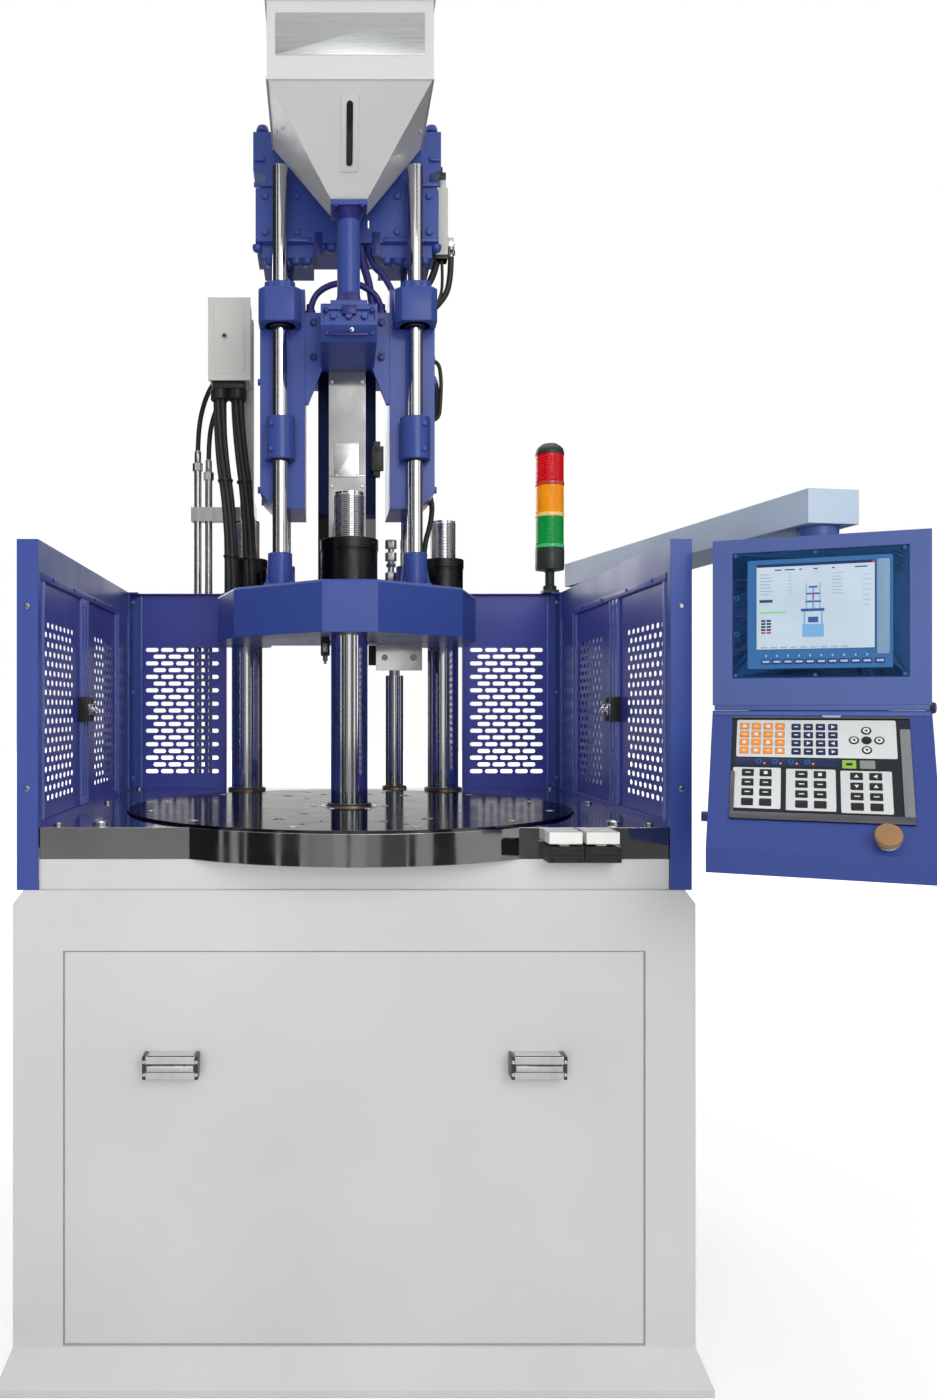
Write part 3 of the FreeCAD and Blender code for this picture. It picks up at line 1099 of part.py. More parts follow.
# ---------------------------------------------------------------- guard
def make_guard():
    """Side frames with posts and top rails, rear panels with slots, and the four leaves."""
    inner = BAND_HALF
    outer = inner + GUARD_T
    low = BED_TOP - GUARD_LAP
    y1 = CAB_FRONT + POST_DEPTH
    post = box(inner, POST_OUT, CAB_FRONT, y1, LEDGE_Z, GUARD_TOP)
    post = post.cut(box(inner - 1, outer, CAB_FRONT + GUARD_T, y1 + 1, LEDGE_Z - 1, BED_TOP))
    rail = box(inner, inner + LEAF_T, y1 - 1, GUARD_BACK, GUARD_TOP - GUARD_RAIL, GUARD_TOP)
    rail = rail.cut(box(inner + GUARD_T, inner + LEAF_T + 1, y1, GUARD_BACK + 1,
                        GUARD_TOP - GUARD_RAIL - 1, GUARD_TOP - GUARD_T))
    sheet = box(inner, outer, LEAF_REAR_Y + 2, GUARD_BACK, low, GUARD_TOP - GUARD_RAIL + 1)
    sill = box(inner, outer, y1 - 1, LEAF_REAR_Y + 3, low, BED_TOP)
    c = CORNER_W
    corner = box(inner - c, inner + 1, GUARD_BACK - CORNER_D, GUARD_BACK, BED_TOP, GUARD_TOP)
    corner = corner.cut(box(inner - c - 1, inner - GUARD_T, GUARD_BACK - CORNER_D - 1, GUARD_BACK - GUARD_T,
                            BED_TOP - 1, GUARD_TOP - GUARD_T))
    frame = join([post, rail, sheet, sill, corner])
    z0 = BED_TOP + LEAF_LIFT
    z1 = GUARD_TOP - GUARD_RAIL - MOVE_GAP
    front_axis = y1 + HINGE_CLEAR
    rear_axis = LEAF_REAR_Y + 2 - HINGE_CLEAR
    frame = join([frame, hinge_ears(front_axis, y1 - 1, z0, z1),
                  hinge_ears(rear_axis, LEAF_REAR_Y + 12, z0, z1), rear_hinge_pads(z0, z1)])
    save("guard_frame_right", frame)
    save("guard_frame_left", mirror_x(frame))
    panel_outline = (REAR_INNER, inner - CORNER_W, BED_TOP, GUARD_TOP)
    slots = []
    for row in range(SLOT_ROWS):
        count = 5 if row % 2 == 0 else 4
        z = SLOT_LOW + row * SLOT_ROW
        for k in range(count):
            x = SLOT_MID_X + (k - (count - 1) / 2) * SLOT_PITCH
            slots.append((x - SLOT_W / 2, x + SLOT_W / 2, z - SLOT_H / 2, z + SLOT_H / 2))
    panel = perforated(panel_outline, slots, lambda u, w: V(u, GUARD_BACK - REAR_T, w), V(0, REAR_T, 0))
    ya = GUARD_BACK - REAR_FOLD
    yb = GUARD_BACK - REAR_T
    fold = box(REAR_INNER, REAR_INNER + REAR_T, ya, yb, BED_TOP, GUARD_TOP)
    lip = box(REAR_INNER, inner - CORNER_W, ya, yb, GUARD_TOP - REAR_T, GUARD_TOP)
    rear = join([panel, fold, lip])
    save("rear_guard_right", rear)
    save("rear_guard_left", mirror_x(rear))
    spans = {"front": (y1 + MOVE_GAP, LEAF_SPLIT_Y - LEAF_GAP / 2, front_axis, 1),
             "rear": (LEAF_SPLIT_Y + LEAF_GAP / 2, LEAF_REAR_Y - 1, rear_axis, -1)}
    for place, (ya, yb, axis_y, inward) in spans.items():
        leaf = join([make_leaf(ya, yb, z0, z1), leaf_knuckle(axis_y, inward, z0, z1)])
        latch_y = yb - LATCH_W - 4 if place == "front" else ya + 4
        latch = box(outer - LATCH_OUT, outer, latch_y, latch_y + LATCH_W, LATCH_Z, LATCH_Z + LATCH_H)
        save("guard_leaf_%s_right" % place, leaf, latch)
        save("guard_leaf_%s_left" % place, mirror_x(leaf), mirror_x(latch))


def hinge_x():
    """Distance of the leaf hinges from the machine's middle plane."""
    return BAND_HALF + GUARD_T + LEAF_T + KNUCKLE_OUT


def hinge_ears(axis_y, fixed_y, z0, z1):
    """Pin and its two ears, on the frame side of a leaf hinge."""
    x = hinge_x()
    w = KNUCKLE_OUT - 1
    pieces = [rod(PIN_R, z0 + HINGE_END, z1 - HINGE_END, x, axis_y)]
    for za in (z0 + HINGE_END, z1 - HINGE_END - HINGE_EAR):
        pieces.append(hexagon(w, za, za + HINGE_EAR, x, axis_y))
        pieces.append(box(x - w, x + w, min(axis_y, fixed_y), max(axis_y, fixed_y), za, za + HINGE_EAR))
    return join(pieces)


def rear_hinge_pads(z0, z1):
    """Pads that stand on the rear side sheet and carry the rear leaf's hinge ears."""
    x = BAND_HALF + GUARD_T
    w = KNUCKLE_OUT - 1
    pads = [box(x - 1, hinge_x() + w, LEAF_REAR_Y + 2, LEAF_REAR_Y + 13, za, za + HINGE_EAR)
            for za in (z0 + HINGE_END, z1 - HINGE_END - HINGE_EAR)]
    return Part.makeCompound(pads)


def leaf_knuckle(axis_y, inward, z0, z1):
    """Long knuckle on the leaf side of its hinge."""
    x = hinge_x()
    low = z0 + HINGE_END + HINGE_EAR + SEAT_GAP
    high = z1 - HINGE_END - HINGE_EAR - SEAT_GAP
    strap_end = axis_y + inward * LEAF_RIM
    strap = box(x - KNUCKLE_OUT - 1, x - PIN_R - 1, min(axis_y, strap_end), max(axis_y, strap_end), low, high)
    knuckle = join([hexagon(KNUCKLE_R, low, high, x, axis_y), strap])
    return knuckle.cut(rod(PIN_R + RUN_GAP, low - 1, high + 1, x, axis_y))


def make_leaf(ya, yb, z0, z1):
    """A folded sheet leaf with rows of slots, its rim turned outwards."""
    x0 = BAND_HALF + GUARD_T
    x1 = x0 + LEAF_T
    mid = (ya + yb) / 2
    slots = []
    for row in range(LEAF_SLOT_ROWS):
        z = SLOT_LOW + row * LEAF_SLOT_ROW
        count = LEAF_SLOT_COLUMNS - row % 2
        for k in range(count):
            y = mid + (k - (count - 1) / 2) * LEAF_SLOT_PITCH
            slots.append((y - LEAF_SLOT_W / 2, y + LEAF_SLOT_W / 2, z - SLOT_H / 2, z + SLOT_H / 2))
    sheet = perforated((ya, yb, z0, z1), slots, lambda u, w: V(x0, u, w), V(LEAF_SHEET, 0, 0))
    rim = box(x0 + 1, x1, ya, yb, z0, z1)
    rim = rim.cut(box(x0, x1 + 1, ya + LEAF_SHEET, yb - LEAF_SHEET, z0 + LEAF_SHEET, z1 - LEAF_SHEET))
    return join([sheet, rim])


# ---------------------------------------------------------------- start boxes and light tower
def make_start_boxes():
    """Two start boxes on the bed's front edge, each with a sprung cap."""
    boxes = []
    for k, x0 in enumerate(START_X):
        x1 = x0 + START_W
        y1 = BAND_FRONT
        y0 = y1 - START_OUT
        case = box(x0, x1, y0, y1, *START_Z)
        mid_x = (x0 + x1) / 2
        mid_y = (y0 + y1) / 2
        h = START_STEM_HALF + RUN_GAP
        case = case.cut(box(mid_x - h, mid_x + h, mid_y - h, mid_y + h,
                            START_Z[1] - START_STEM_H - START_TRAVEL - 2, START_Z[1] + 1))
        boxes.append(case)
        low = START_Z[1] + START_TRAVEL + 1
        i = START_CAP_IN
        cap = box(x0 + i, x1 - i, y0 + i, y1 - 1, low, low + START_CAP_H)
        h = START_STEM_HALF
        stem = box(mid_x - h, mid_x + h, mid_y - h, mid_y + h, START_Z[1] - START_STEM_H, low + 1)
        save("start_button_" + ("left", "right")[k], join([cap, stem]))
    save("start_boxes", *boxes)


def make_light_tower():
    """Signal light: pole, dark base, three lenses and a cap."""
    z = GUARD_TOP
    pole_top = z + TOWER_POLE_H
    foot = box(TOWER_X - TOWER_FOOT, TOWER_X + TOWER_FOOT, TOWER_Y - TOWER_FOOT, TOWER_Y + TOWER_FOOT, z, z + 8)
    pole = rod(TOWER_POLE_R, z + 7, pole_top + 1, TOWER_X, TOWER_Y)
    stand = rod(TOWER_R, pole_top, pole_top + TOWER_BASE_H, TOWER_X, TOWER_Y)
    z = pole_top + TOWER_BASE_H
    lenses = []
    for k in range(3):
        lenses.append(rod(TOWER_R - 1, z, z + TOWER_LENS_H, TOWER_X, TOWER_Y))
        z += TOWER_LENS_H
    save("tower_lenses", *lenses)
    cap = Part.makeCone(TOWER_R, TOWER_R * 0.55, TOWER_CAP_H, V(TOWER_X, TOWER_Y, z))
    save("tower_pole", join([foot, pole, stand]), cap)


# ---------------------------------------------------------------- swing arm and control box
def to_box(shape):
    """Move a shape from the control box's own frame to its place on the machine."""
    turned = shape.copy()
    turned.rotate(V(0, 0, 0), V(0, 0, 1), YAW)
    turned.translate(V(BOX_X, BOX_Y, 0))
    return turned


def swivel_point():
    """Plan position of the control box's swivel pin."""
    a = math.radians(YAW)
    return (BOX_X - SWIVEL_Y * math.sin(a), BOX_Y + SWIVEL_Y * math.cos(a))


def make_swing_arm():
    """Post on the cabinet's side, and the arm that swings on it."""
    h = ARM_POST_HALF
    collar_top = ARM_LOW - SEAT_GAP
    post = box(ARM_POST_X - h, ARM_POST_X + h, ARM_POST_Y - h, ARM_POST_Y + h, ARM_POST_LOW, ARM_POST_TOP)
    foot = box(CAB_HALF, ARM_POST_X - h + 1, ARM_POST_Y - ARM_FOOT_HALF, ARM_POST_Y + ARM_FOOT_HALF,
               ARM_POST_LOW, SHOULDER_Z - 20)
    pin = rod(ARM_PIN_R, ARM_POST_TOP - 1, ARM_HIGH - 12, ARM_POST_X, ARM_POST_Y)
    thrust = rod(h, ARM_POST_TOP - 1, collar_top, ARM_POST_X, ARM_POST_Y)
    save("arm_post", join([post, foot, pin, thrust]))
    sx, sy = swivel_point()
    direction = V(sx - ARM_POST_X, sy - ARM_POST_Y, 0).normalize()
    side = V(-direction.y, direction.x, 0)
    root = V(ARM_POST_X, ARM_POST_Y, 0) - direction * ARM_ROOT
    tip = V(sx, sy, 0) + direction * 46
    corners = [root + side * ARM_WIDTH, tip + side * ARM_TIP_WIDTH,
               tip - side * ARM_TIP_WIDTH, root - side * ARM_WIDTH]
    beam = plate([(c.x, c.y) for c in corners], ARM_LOW, ARM_HIGH)
    pocket = rod(ARM_PIN_R + RUN_GAP, ARM_LOW - 1, ARM_HIGH - 11, ARM_POST_X, ARM_POST_Y)
    seat = rod(SWIVEL_R + RUN_GAP, ARM_LOW - 1, ARM_HIGH - 11, sx, sy)
    save("swing_arm", cut(beam, [pocket, seat]))


def slope_point(x, down, out):
    """Point on the keypad slope: down along it, and out from it, in the box's own frame."""
    a = math.radians(KEY_SLOPE)
    return V(x, -down * math.sin(a) - out * math.cos(a), KEY_TOP - down * math.cos(a) + out * math.sin(a))


def on_slope(shape, x, down, out):
    """Stand a shape, built up from the origin, on the keypad slope."""
    placed = shape.copy()
    placed.rotate(V(0, 0, 0), V(1, 0, 0), 90 - KEY_SLOPE)
    placed.translate(slope_point(x, down, out))
    return placed


def across(r, x0, x1):
    """A cylinder along the tilt hinge between the two housings, in the box's own frame."""
    return Part.makeCylinder(r, x1 - x0, V(x0, KEY_TILT_Y, TILT_Z), V(1, 0, 0))


def make_control_box():
    """Screen housing above, keypad housing below, and what is set into both."""
    h = SCREEN_HALF
    d = SCREEN_DEPTH
    z0, z1 = SCREEN_Z
    case = box(-h, h, 0, d, z0, z1)
    case = case.cut(box(-BEZEL_HALF, BEZEL_HALF, -1, BEZEL_DEPTH, *BEZEL_Z))
    pin = rod(SWIVEL_R, z1 - 1, ARM_HIGH - 14, 0, SWIVEL_Y)
    collar = rod(SWIVEL_R + 14, z1 - 1, ARM_LOW - SEAT_GAP, 0, SWIVEL_Y)
    hinge = [across(TILT_PIN_R, -TILT_EAR - TILT_EAR_W, h + KNOB_LEN),
             across(KNOB_R, h + 1, h + KNOB_LEN)]
    for side in (-1, 1):
        ear = sorted((side * TILT_EAR, side * (TILT_EAR + TILT_EAR_W)))
        hinge.append(across(TILT_KNUCKLE_R, *ear))
        hinge.append(box(*ear, KEY_TILT_Y - TILT_WEB, KEY_TILT_Y + TILT_WEB, TILT_Z, z0 + 1))
    save("screen_housing", to_box(join([case, pin, collar] + hinge)))
    bezel = box(-BEZEL_HALF + 0.5, BEZEL_HALF - 0.5, 1.5, BEZEL_DEPTH, BEZEL_Z[0] + 0.5, BEZEL_Z[1] - 0.5)
    window = box(*GLASS_X, 0, 3.0, *GLASS_Z)
    save("screen_panel", to_box(bezel.cut(window)))
    a = math.radians(KEY_SLOPE)
    lip_y = -KEY_LENGTH * math.sin(a)
    lip_z = KEY_TOP - KEY_LENGTH * math.cos(a)
    outline = [(0, KEY_TOP), (lip_y, lip_z), (lip_y, lip_z - KEY_LIP), (lip_y + KEY_FLOOR, lip_z - KEY_LIP),
               (d, KEY_BACK_Z), (d, KEY_TOP)]
    keys = side_profile(outline, -h, h)
    field = Part.makeBox(2 * KEY_FIELD_HALF, KEY_FIELD[1] - KEY_FIELD[0], KEY_FIELD_DEPTH + 1,
                         V(-KEY_FIELD_HALF, -KEY_FIELD[1], -KEY_FIELD_DEPTH))
    stem_hole = rod(STOP_COLLAR_R * 0.5 + RUN_GAP, -24, STOP_COLLAR_H + 1)
    collar = on_slope(rod(STOP_COLLAR_R, -1, STOP_COLLAR_H), STOP_X, STOP_DOWN, 0)
    keys = join([keys, collar])
    keys = cut(keys, [on_slope(field, 0, 0, 0), on_slope(stem_hole, STOP_X, STOP_DOWN, 0)])
    knob_foot = slope_point(-h + 1, SIDE_KNOB_DOWN, -SIDE_KNOB_IN)
    knob = Part.makeCylinder(KNOB_R, KNOB_LEN, knob_foot, V(-1, 0, 0))
    knuckle = across(TILT_KNUCKLE_R, -TILT_EAR + 1, TILT_EAR - 1)
    web = box(-TILT_EAR + 1, TILT_EAR - 1, KEY_TILT_Y - TILT_WEB, KEY_TILT_Y + TILT_WEB, KEY_TOP - 1, TILT_Z)
    knuckle = join([knuckle, web]).cut(across(TILT_PIN_R + RUN_GAP, -TILT_EAR, TILT_EAR))
    save("keypad_housing", to_box(join([keys, knob, knuckle])))
    pad = Part.makeBox(2 * KEY_FIELD_HALF - 1, KEY_FIELD[1] - KEY_FIELD[0] - 1, KEY_FIELD_DEPTH - 1,
                       V(-KEY_FIELD_HALF + 0.5, -KEY_FIELD[1] + 0.5, -KEY_FIELD_DEPTH))
    save("keypad_panel", to_box(on_slope(pad, 0, 0, 0)))
    head_low = STOP_COLLAR_H + STOP_TRAVEL + 1
    button = join([rod(STOP_COLLAR_R * 0.5, -16, head_low + 1), rod(STOP_R, head_low, head_low + STOP_HEAD_H)])
    save("emergency_button", to_box(on_slope(button, STOP_X, STOP_DOWN, 0)))


os.makedirs(PARTS_DIR, exist_ok=True)
make_base_frame()
make_front_cover()
make_bed_plate()
make_rotary_table()
make_index_motor()
make_hydraulics()
make_clamp_cylinder()
make_lower_crosshead()
make_columns()
make_upper_platen()
make_guide_rods()
make_safety_rod()
make_injection_crosshead()
make_injection_cylinders()
make_injection_hoses()
make_barrel()
make_feed()
make_hopper()
make_thrust_block()
make_sensor()
make_services()
make_guard()
make_start_boxes()
make_light_tower()
make_swing_arm()
make_control_box()
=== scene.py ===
"""Looks of the vertical injection moulding machine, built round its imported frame.

Everything is in metres in the machine's own frame: +X to the operator's right, +Y to the back, +Z up.
Sizes that read better in millimetres go through mm().
"""
import bmesh
import bpy
import math
from itertools import product
from mathutils import Matrix, Vector
from mathutils.geometry import tessellate_polygon


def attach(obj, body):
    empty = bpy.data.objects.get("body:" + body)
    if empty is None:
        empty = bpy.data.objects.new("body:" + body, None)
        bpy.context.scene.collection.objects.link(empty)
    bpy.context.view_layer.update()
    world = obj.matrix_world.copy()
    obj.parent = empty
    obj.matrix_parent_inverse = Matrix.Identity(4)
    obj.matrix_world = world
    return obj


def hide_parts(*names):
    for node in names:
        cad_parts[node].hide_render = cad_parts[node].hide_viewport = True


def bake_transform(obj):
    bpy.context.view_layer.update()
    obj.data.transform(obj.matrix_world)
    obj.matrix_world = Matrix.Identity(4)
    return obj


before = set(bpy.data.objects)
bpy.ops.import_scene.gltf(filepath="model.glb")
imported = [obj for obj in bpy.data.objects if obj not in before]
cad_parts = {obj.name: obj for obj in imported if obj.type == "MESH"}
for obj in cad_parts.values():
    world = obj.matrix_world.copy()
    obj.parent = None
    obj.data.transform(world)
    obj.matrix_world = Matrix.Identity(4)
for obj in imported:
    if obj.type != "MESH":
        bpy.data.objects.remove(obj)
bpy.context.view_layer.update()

MM = 0.001
TURN = 2 * math.pi
SCREW_STEPS = 24
THREAD_STEPS = 40
THREAD_DEPTH = 1.6
CORNER_STEPS = 4


# ---------------------------------------------------------------- helpers for meshes
def mm(*values):
    """Millimetres to metres, as a vector."""
    return Vector([v * MM for v in values])


def place(x=0.0, y=0.0, z=0.0, turn=(0.0, 0.0, 0.0)):
    """A frame at a point in millimetres, turned by degrees about X, then Y, then Z."""
    m = Matrix.Translation(mm(x, y, z))
    for axis in (2, 1, 0):
        m = m @ Matrix.Rotation(math.radians(turn[axis]), 4, "XYZ"[axis])
    return m


def facing(x, y, z):
    """A frame whose Z axis points at the operator."""
    return place(x, y, z, (90, 0, 0))


def hanging(x, y, z):
    """A frame whose Z axis points down."""
    return place(x, y, z, (180, 0, 0))


def outward(side, x, y, z):
    """A frame on one side of the machine, its Z axis pointing away from the middle."""
    return place(side * x, y, z, (0, 90 * side, 0))


def inward(side, x, y, z):
    """A frame on one side of the machine, its Z axis pointing to the middle."""
    return place(side * x, y, z, (0, -90 * side, 0))


def spoke(x, y, z, angle, reach):
    """A frame at a distance from an upright axis, turned by degrees."""
    return place(x, y, z, (0, 0, angle)) @ place(reach)


HERE = Matrix.Identity(4)
SIDEWAYS = place(turn=(0, 90, 0))
BOTH = (-1, 1)
SIDES = ((-1, "left"), (1, "right"))


class Shape:
    """Gathers the faces of one piece. Sizes are millimetres in the frame given by where."""

    def __init__(self):
        self.bm = bmesh.new()

    def _face(self, verts, mat):
        self.bm.faces.new(verts).material_index = mat

    def _point(self, r, angle, z, where):
        """A point at a distance from the local Z axis."""
        return self.bm.verts.new(where @ mm(r * math.cos(angle), r * math.sin(angle), z))

    def _circle(self, r, z, where, steps):
        """Points round the local Z axis."""
        return [self._point(r, k * TURN / steps, z, where) for k in range(steps)]

    def _skin(self, a, b, mat):
        """Quads between two rings of points."""
        for k in range(len(a)):
            n = (k + 1) % len(a)
            self._face([a[k], a[n], b[n], b[k]], mat)

    def _soften(self, verts, bevel, segments, **more):
        """Round every edge at these points."""
        if bevel:
            edges = list({e for v in verts for e in v.link_edges})
            bmesh.ops.bevel(self.bm, geom=edges, offset=bevel * MM, segments=segments, profile=0.6,
                            affect="EDGES", **more)
        return self

    def box(self, x0, x1, y0, y1, z0, z1, bevel, where=HERE, mat=0, segments=2):
        """A block, with its edges rounded by bevel."""
        size = Matrix.Diagonal((*mm(x1 - x0, y1 - y0, z1 - z0), 1.0))
        middle = Matrix.Translation(mm((x0 + x1) / 2, (y0 + y1) / 2, (z0 + z1) / 2))
        verts = bmesh.ops.create_cube(self.bm, size=1.0, matrix=where @ middle @ size)["verts"]
        for face in {f for v in verts for f in v.link_faces}:
            face.material_index = mat
        return self._soften(verts, bevel, segments)

    def prism(self, outline, z0, z1, bevel, where=HERE, mat=0):
        """A flat outline in local x and y, raised from z0 to z1, with rounded rims."""
        low, high = ([self.bm.verts.new(where @ mm(x, y, z)) for x, y in outline] for z in (z0, z1))
        self._face(low[::-1], mat)
        self._face(high, mat)
        self._skin(low, high, mat)
        return self._soften(low + high, bevel, 2, clamp_overlap=True)

    def lathe(self, profile, where, steps, mat=0):
        """A closed turned shape from (radius, z) pairs, about the local Z axis."""
        rings = [self._circle(r, z, where, steps) if r else [self.bm.verts.new(where @ mm(0, 0, z))]
                 for r, z in profile]
        for a, b in zip(rings, rings[1:]):
            if len(a) == len(b):
                self._skin(a, b, mat)
                continue
            for k in range(steps):
                n = (k + 1) % steps
                self._face([a[0], b[n], b[k]] if len(a) == 1 else [a[k], a[n], b[0]], mat)
        if len(rings[0]) > 1:
            self._face(rings[0][::-1], mat)
        if len(rings[-1]) > 1:
            self._face(rings[-1], mat)
        return self

    def pin(self, r, z0, z1, where, steps, mat=0, tip=None):
        """A round pin; tip is the height of the middle of its end."""
        return self.lathe([(0, z0), (r, z0), (r, z1), (0, z1 if tip is None else tip)], where, steps, mat)

    def head(self, r, rim, crown, z1, where, steps, mat=0, z0=0):
        """A round screw head, straight up to rim and then in to the radius crown at z1."""
        return self.lathe([(0, z0), (r, z0), (r, rim), (crown, z1), (0, z1)], where, steps, mat)

    def ring(self, r_in, r_out, z0, z1, where, steps, mat=0, edge=1.0):
        """A turned ring with a hole, its rims broken by edge."""
        profile = [(r_in, z0 + edge), (r_in + edge, z0), (r_out - edge, z0), (r_out, z0 + edge),
                   (r_out, z1 - edge), (r_out - edge, z1), (r_in + edge, z1), (r_in, z1 - edge)]
        rings = [self._circle(r, z, where, steps) for r, z in profile]
        for a, b in zip(rings, rings[1:] + rings[:1]):
            self._skin(a, b, mat)
        return self

    def hexagon(self, r, z0, z1, where, mat=0, bevel=0.8):
        """A hexagon head."""
        outline = [(r * math.cos(k * TURN / 6), r * math.sin(k * TURN / 6)) for k in range(6)]
        return self.prism(outline, z0, z1, bevel, where, mat)

    def cap_screw(self, r, h, where, mat=0):
        """A socket head screw seen from outside: head, rounded rim and a hexagon socket."""
        flat = TURN / 6
        rings = [self._circle(q, z, where, SCREW_STEPS)
                 for q, z in ((r, 0), (r, h - r * 0.12), (r * 0.88, h))]
        for z in (h, h * 0.45):
            ring = []
            for k in range(SCREW_STEPS):
                a = k * TURN / SCREW_STEPS
                reach = r * 0.48 * math.cos(flat / 2) / math.cos((a % flat) - flat / 2)
                ring.append(self._point(reach, a, z, where))
            rings.append(ring)
        for a, b in zip(rings, rings[1:]):
            self._skin(a, b, mat)
        self._face(rings[0][::-1], mat)
        self._face(rings[-1], mat)
        return self

    def thread(self, r, pitch, z0, z1, where):
        """A screw thread's winding surface round the local Z axis."""
        count = int(((z1 - z0) / pitch - 1) * THREAD_STEPS)
        crest, root = [], []
        for k in range(count + 1):
            a = k * TURN / THREAD_STEPS
            z = z0 + pitch * k / THREAD_STEPS
            crest.append(self._point(r, a, z, where))
            root.append(self._point(r - THREAD_DEPTH, a, z + pitch / 2, where))
        for k in range(count):
            self._face([crest[k], crest[k + 1], root[k + 1], root[k]], 0)
            above = k + THREAD_STEPS
            if above < count:
                self._face([root[k], root[k + 1], crest[above + 1], crest[above]], 0)
        return self

    def holed_sheet(self, outer, holes, t0, t1, where, mat=0):
        """A flat sheet with holes; points are (u, w) and where puts (u, w, t) in place."""
        loops = [outer] + holes
        triangles = tessellate_polygon([[Vector((u, w, 0.0)) for u, w in loop] for loop in loops])
        points = [p for loop in loops for p in loop]
        low, high = ([self.bm.verts.new(where @ mm(u, w, t)) for u, w in points] for t in (t0, t1))
        for a, b, c in triangles:
            self._face([low[a], low[b], low[c]], mat)
            self._face([high[c], high[b], high[a]], mat)
        start = 0
        for loop in loops:
            end = start + len(loop)
            self._skin(low[start:end], high[start:end], mat)
            start = end
        return self

    def done(self, name, body, materials, slot, replaces=(), sharp=35.0):
        """Turn the gathered faces into a piece that rides on a body."""
        bmesh.ops.recalc_face_normals(self.bm, faces=self.bm.faces)
        for face in self.bm.faces:
            face.smooth = True
        for edge in self.bm.edges:
            if len(edge.link_faces) != 2 or edge.calc_face_angle(0.0) > math.radians(sharp):
                edge.smooth = False
        mesh = bpy.data.meshes.new(name)
        self.bm.to_mesh(mesh)
        self.bm.free()
        return finish_piece(name, mesh, body, materials, replaces)


def finish_piece(name, mesh, body, materials, replaces):
    """Put a mesh in the scene, give it its materials and let it ride on a body."""
    for material in materials:
        mesh.materials.append(material)
    piece = bpy.data.objects.new(name, mesh)
    bpy.context.scene.collection.objects.link(piece)
    if isinstance(body, str):
        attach(piece, body)
    else:
        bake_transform(piece)
    if replaces:
        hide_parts(*replaces)
    return piece


def hose(name, points, radius, material, body, replaces=()):
    """A round hose along a smooth route, given by listed points in millimetres."""
    curve = bpy.data.curves.new(name, "CURVE")
    curve.dimensions = "3D"
    spline = curve.splines.new("NURBS")
    spline.points.add(len(points) - 1)
    for point, spot in zip(spline.points, points):
        point.co = (*mm(*spot), 1.0)
    spline.order_u = 3
    spline.use_endpoint_u = True
    spline.resolution_u = 8
    curve.bevel_depth = radius * MM
    curve.bevel_resolution = 5
    curve.use_fill_caps = True
    holder = bpy.data.objects.new(name + "_route", curve)
    bpy.context.scene.collection.objects.link(holder)
    mesh = bpy.data.meshes.new_from_object(holder.evaluated_get(bpy.context.evaluated_depsgraph_get()))
    bpy.data.objects.remove(holder)
    for polygon in mesh.polygons:
        polygon.use_smooth = True
    mesh.materials.clear()
    mesh.name = name
    return finish_piece(name, mesh, body, [material], replaces)


def obround(u, w, length, height, arc=6):
    """Outline of a slot with round ends."""
    r = height / 2
    reach = length / 2 - r
    right = [(u + reach + r * math.sin(k * math.pi / arc), w - r * math.cos(k * math.pi / arc))
             for k in range(arc + 1)]
    left = [(2 * u - a, 2 * w - b) for a, b in right]
    return right + left


def rounded(u0, u1, w0, w1, r):
    """Outline of a rectangle with round corners."""
    corners = ((u1 - r, w0 + r, -90), (u1 - r, w1 - r, 0), (u0 + r, w1 - r, 90), (u0 + r, w0 + r, 180))
    points = []
    for (u, w, start), k in product(corners, range(CORNER_STEPS + 1)):
        a = math.radians(start + 90 * k / CORNER_STEPS)
        points.append((u + r * math.cos(a), w + r * math.sin(a)))
    return points


def mirrored(side, a, b):
    """A span of x on one side of the machine, low end first."""
    return sorted((side * a, side * b))


# ---------------------------------------------------------------- materials
EVEN = (1.0, 1.0, 1.0)


def linear(r, g, b):
    """A screen colour from 0 to 255 as the shader's linear colour."""
    out = []
    for c in (r, g, b):
        c /= 255
        out.append(c / 12.92 if c <= 0.04045 else ((c + 0.055) / 1.055) ** 2.4)
    return (*out, 1.0)


def scaled(colour, share):
    """A colour made darker or lighter."""
    return (*[min(c * share, 1.0) for c in colour[:3]], 1.0)


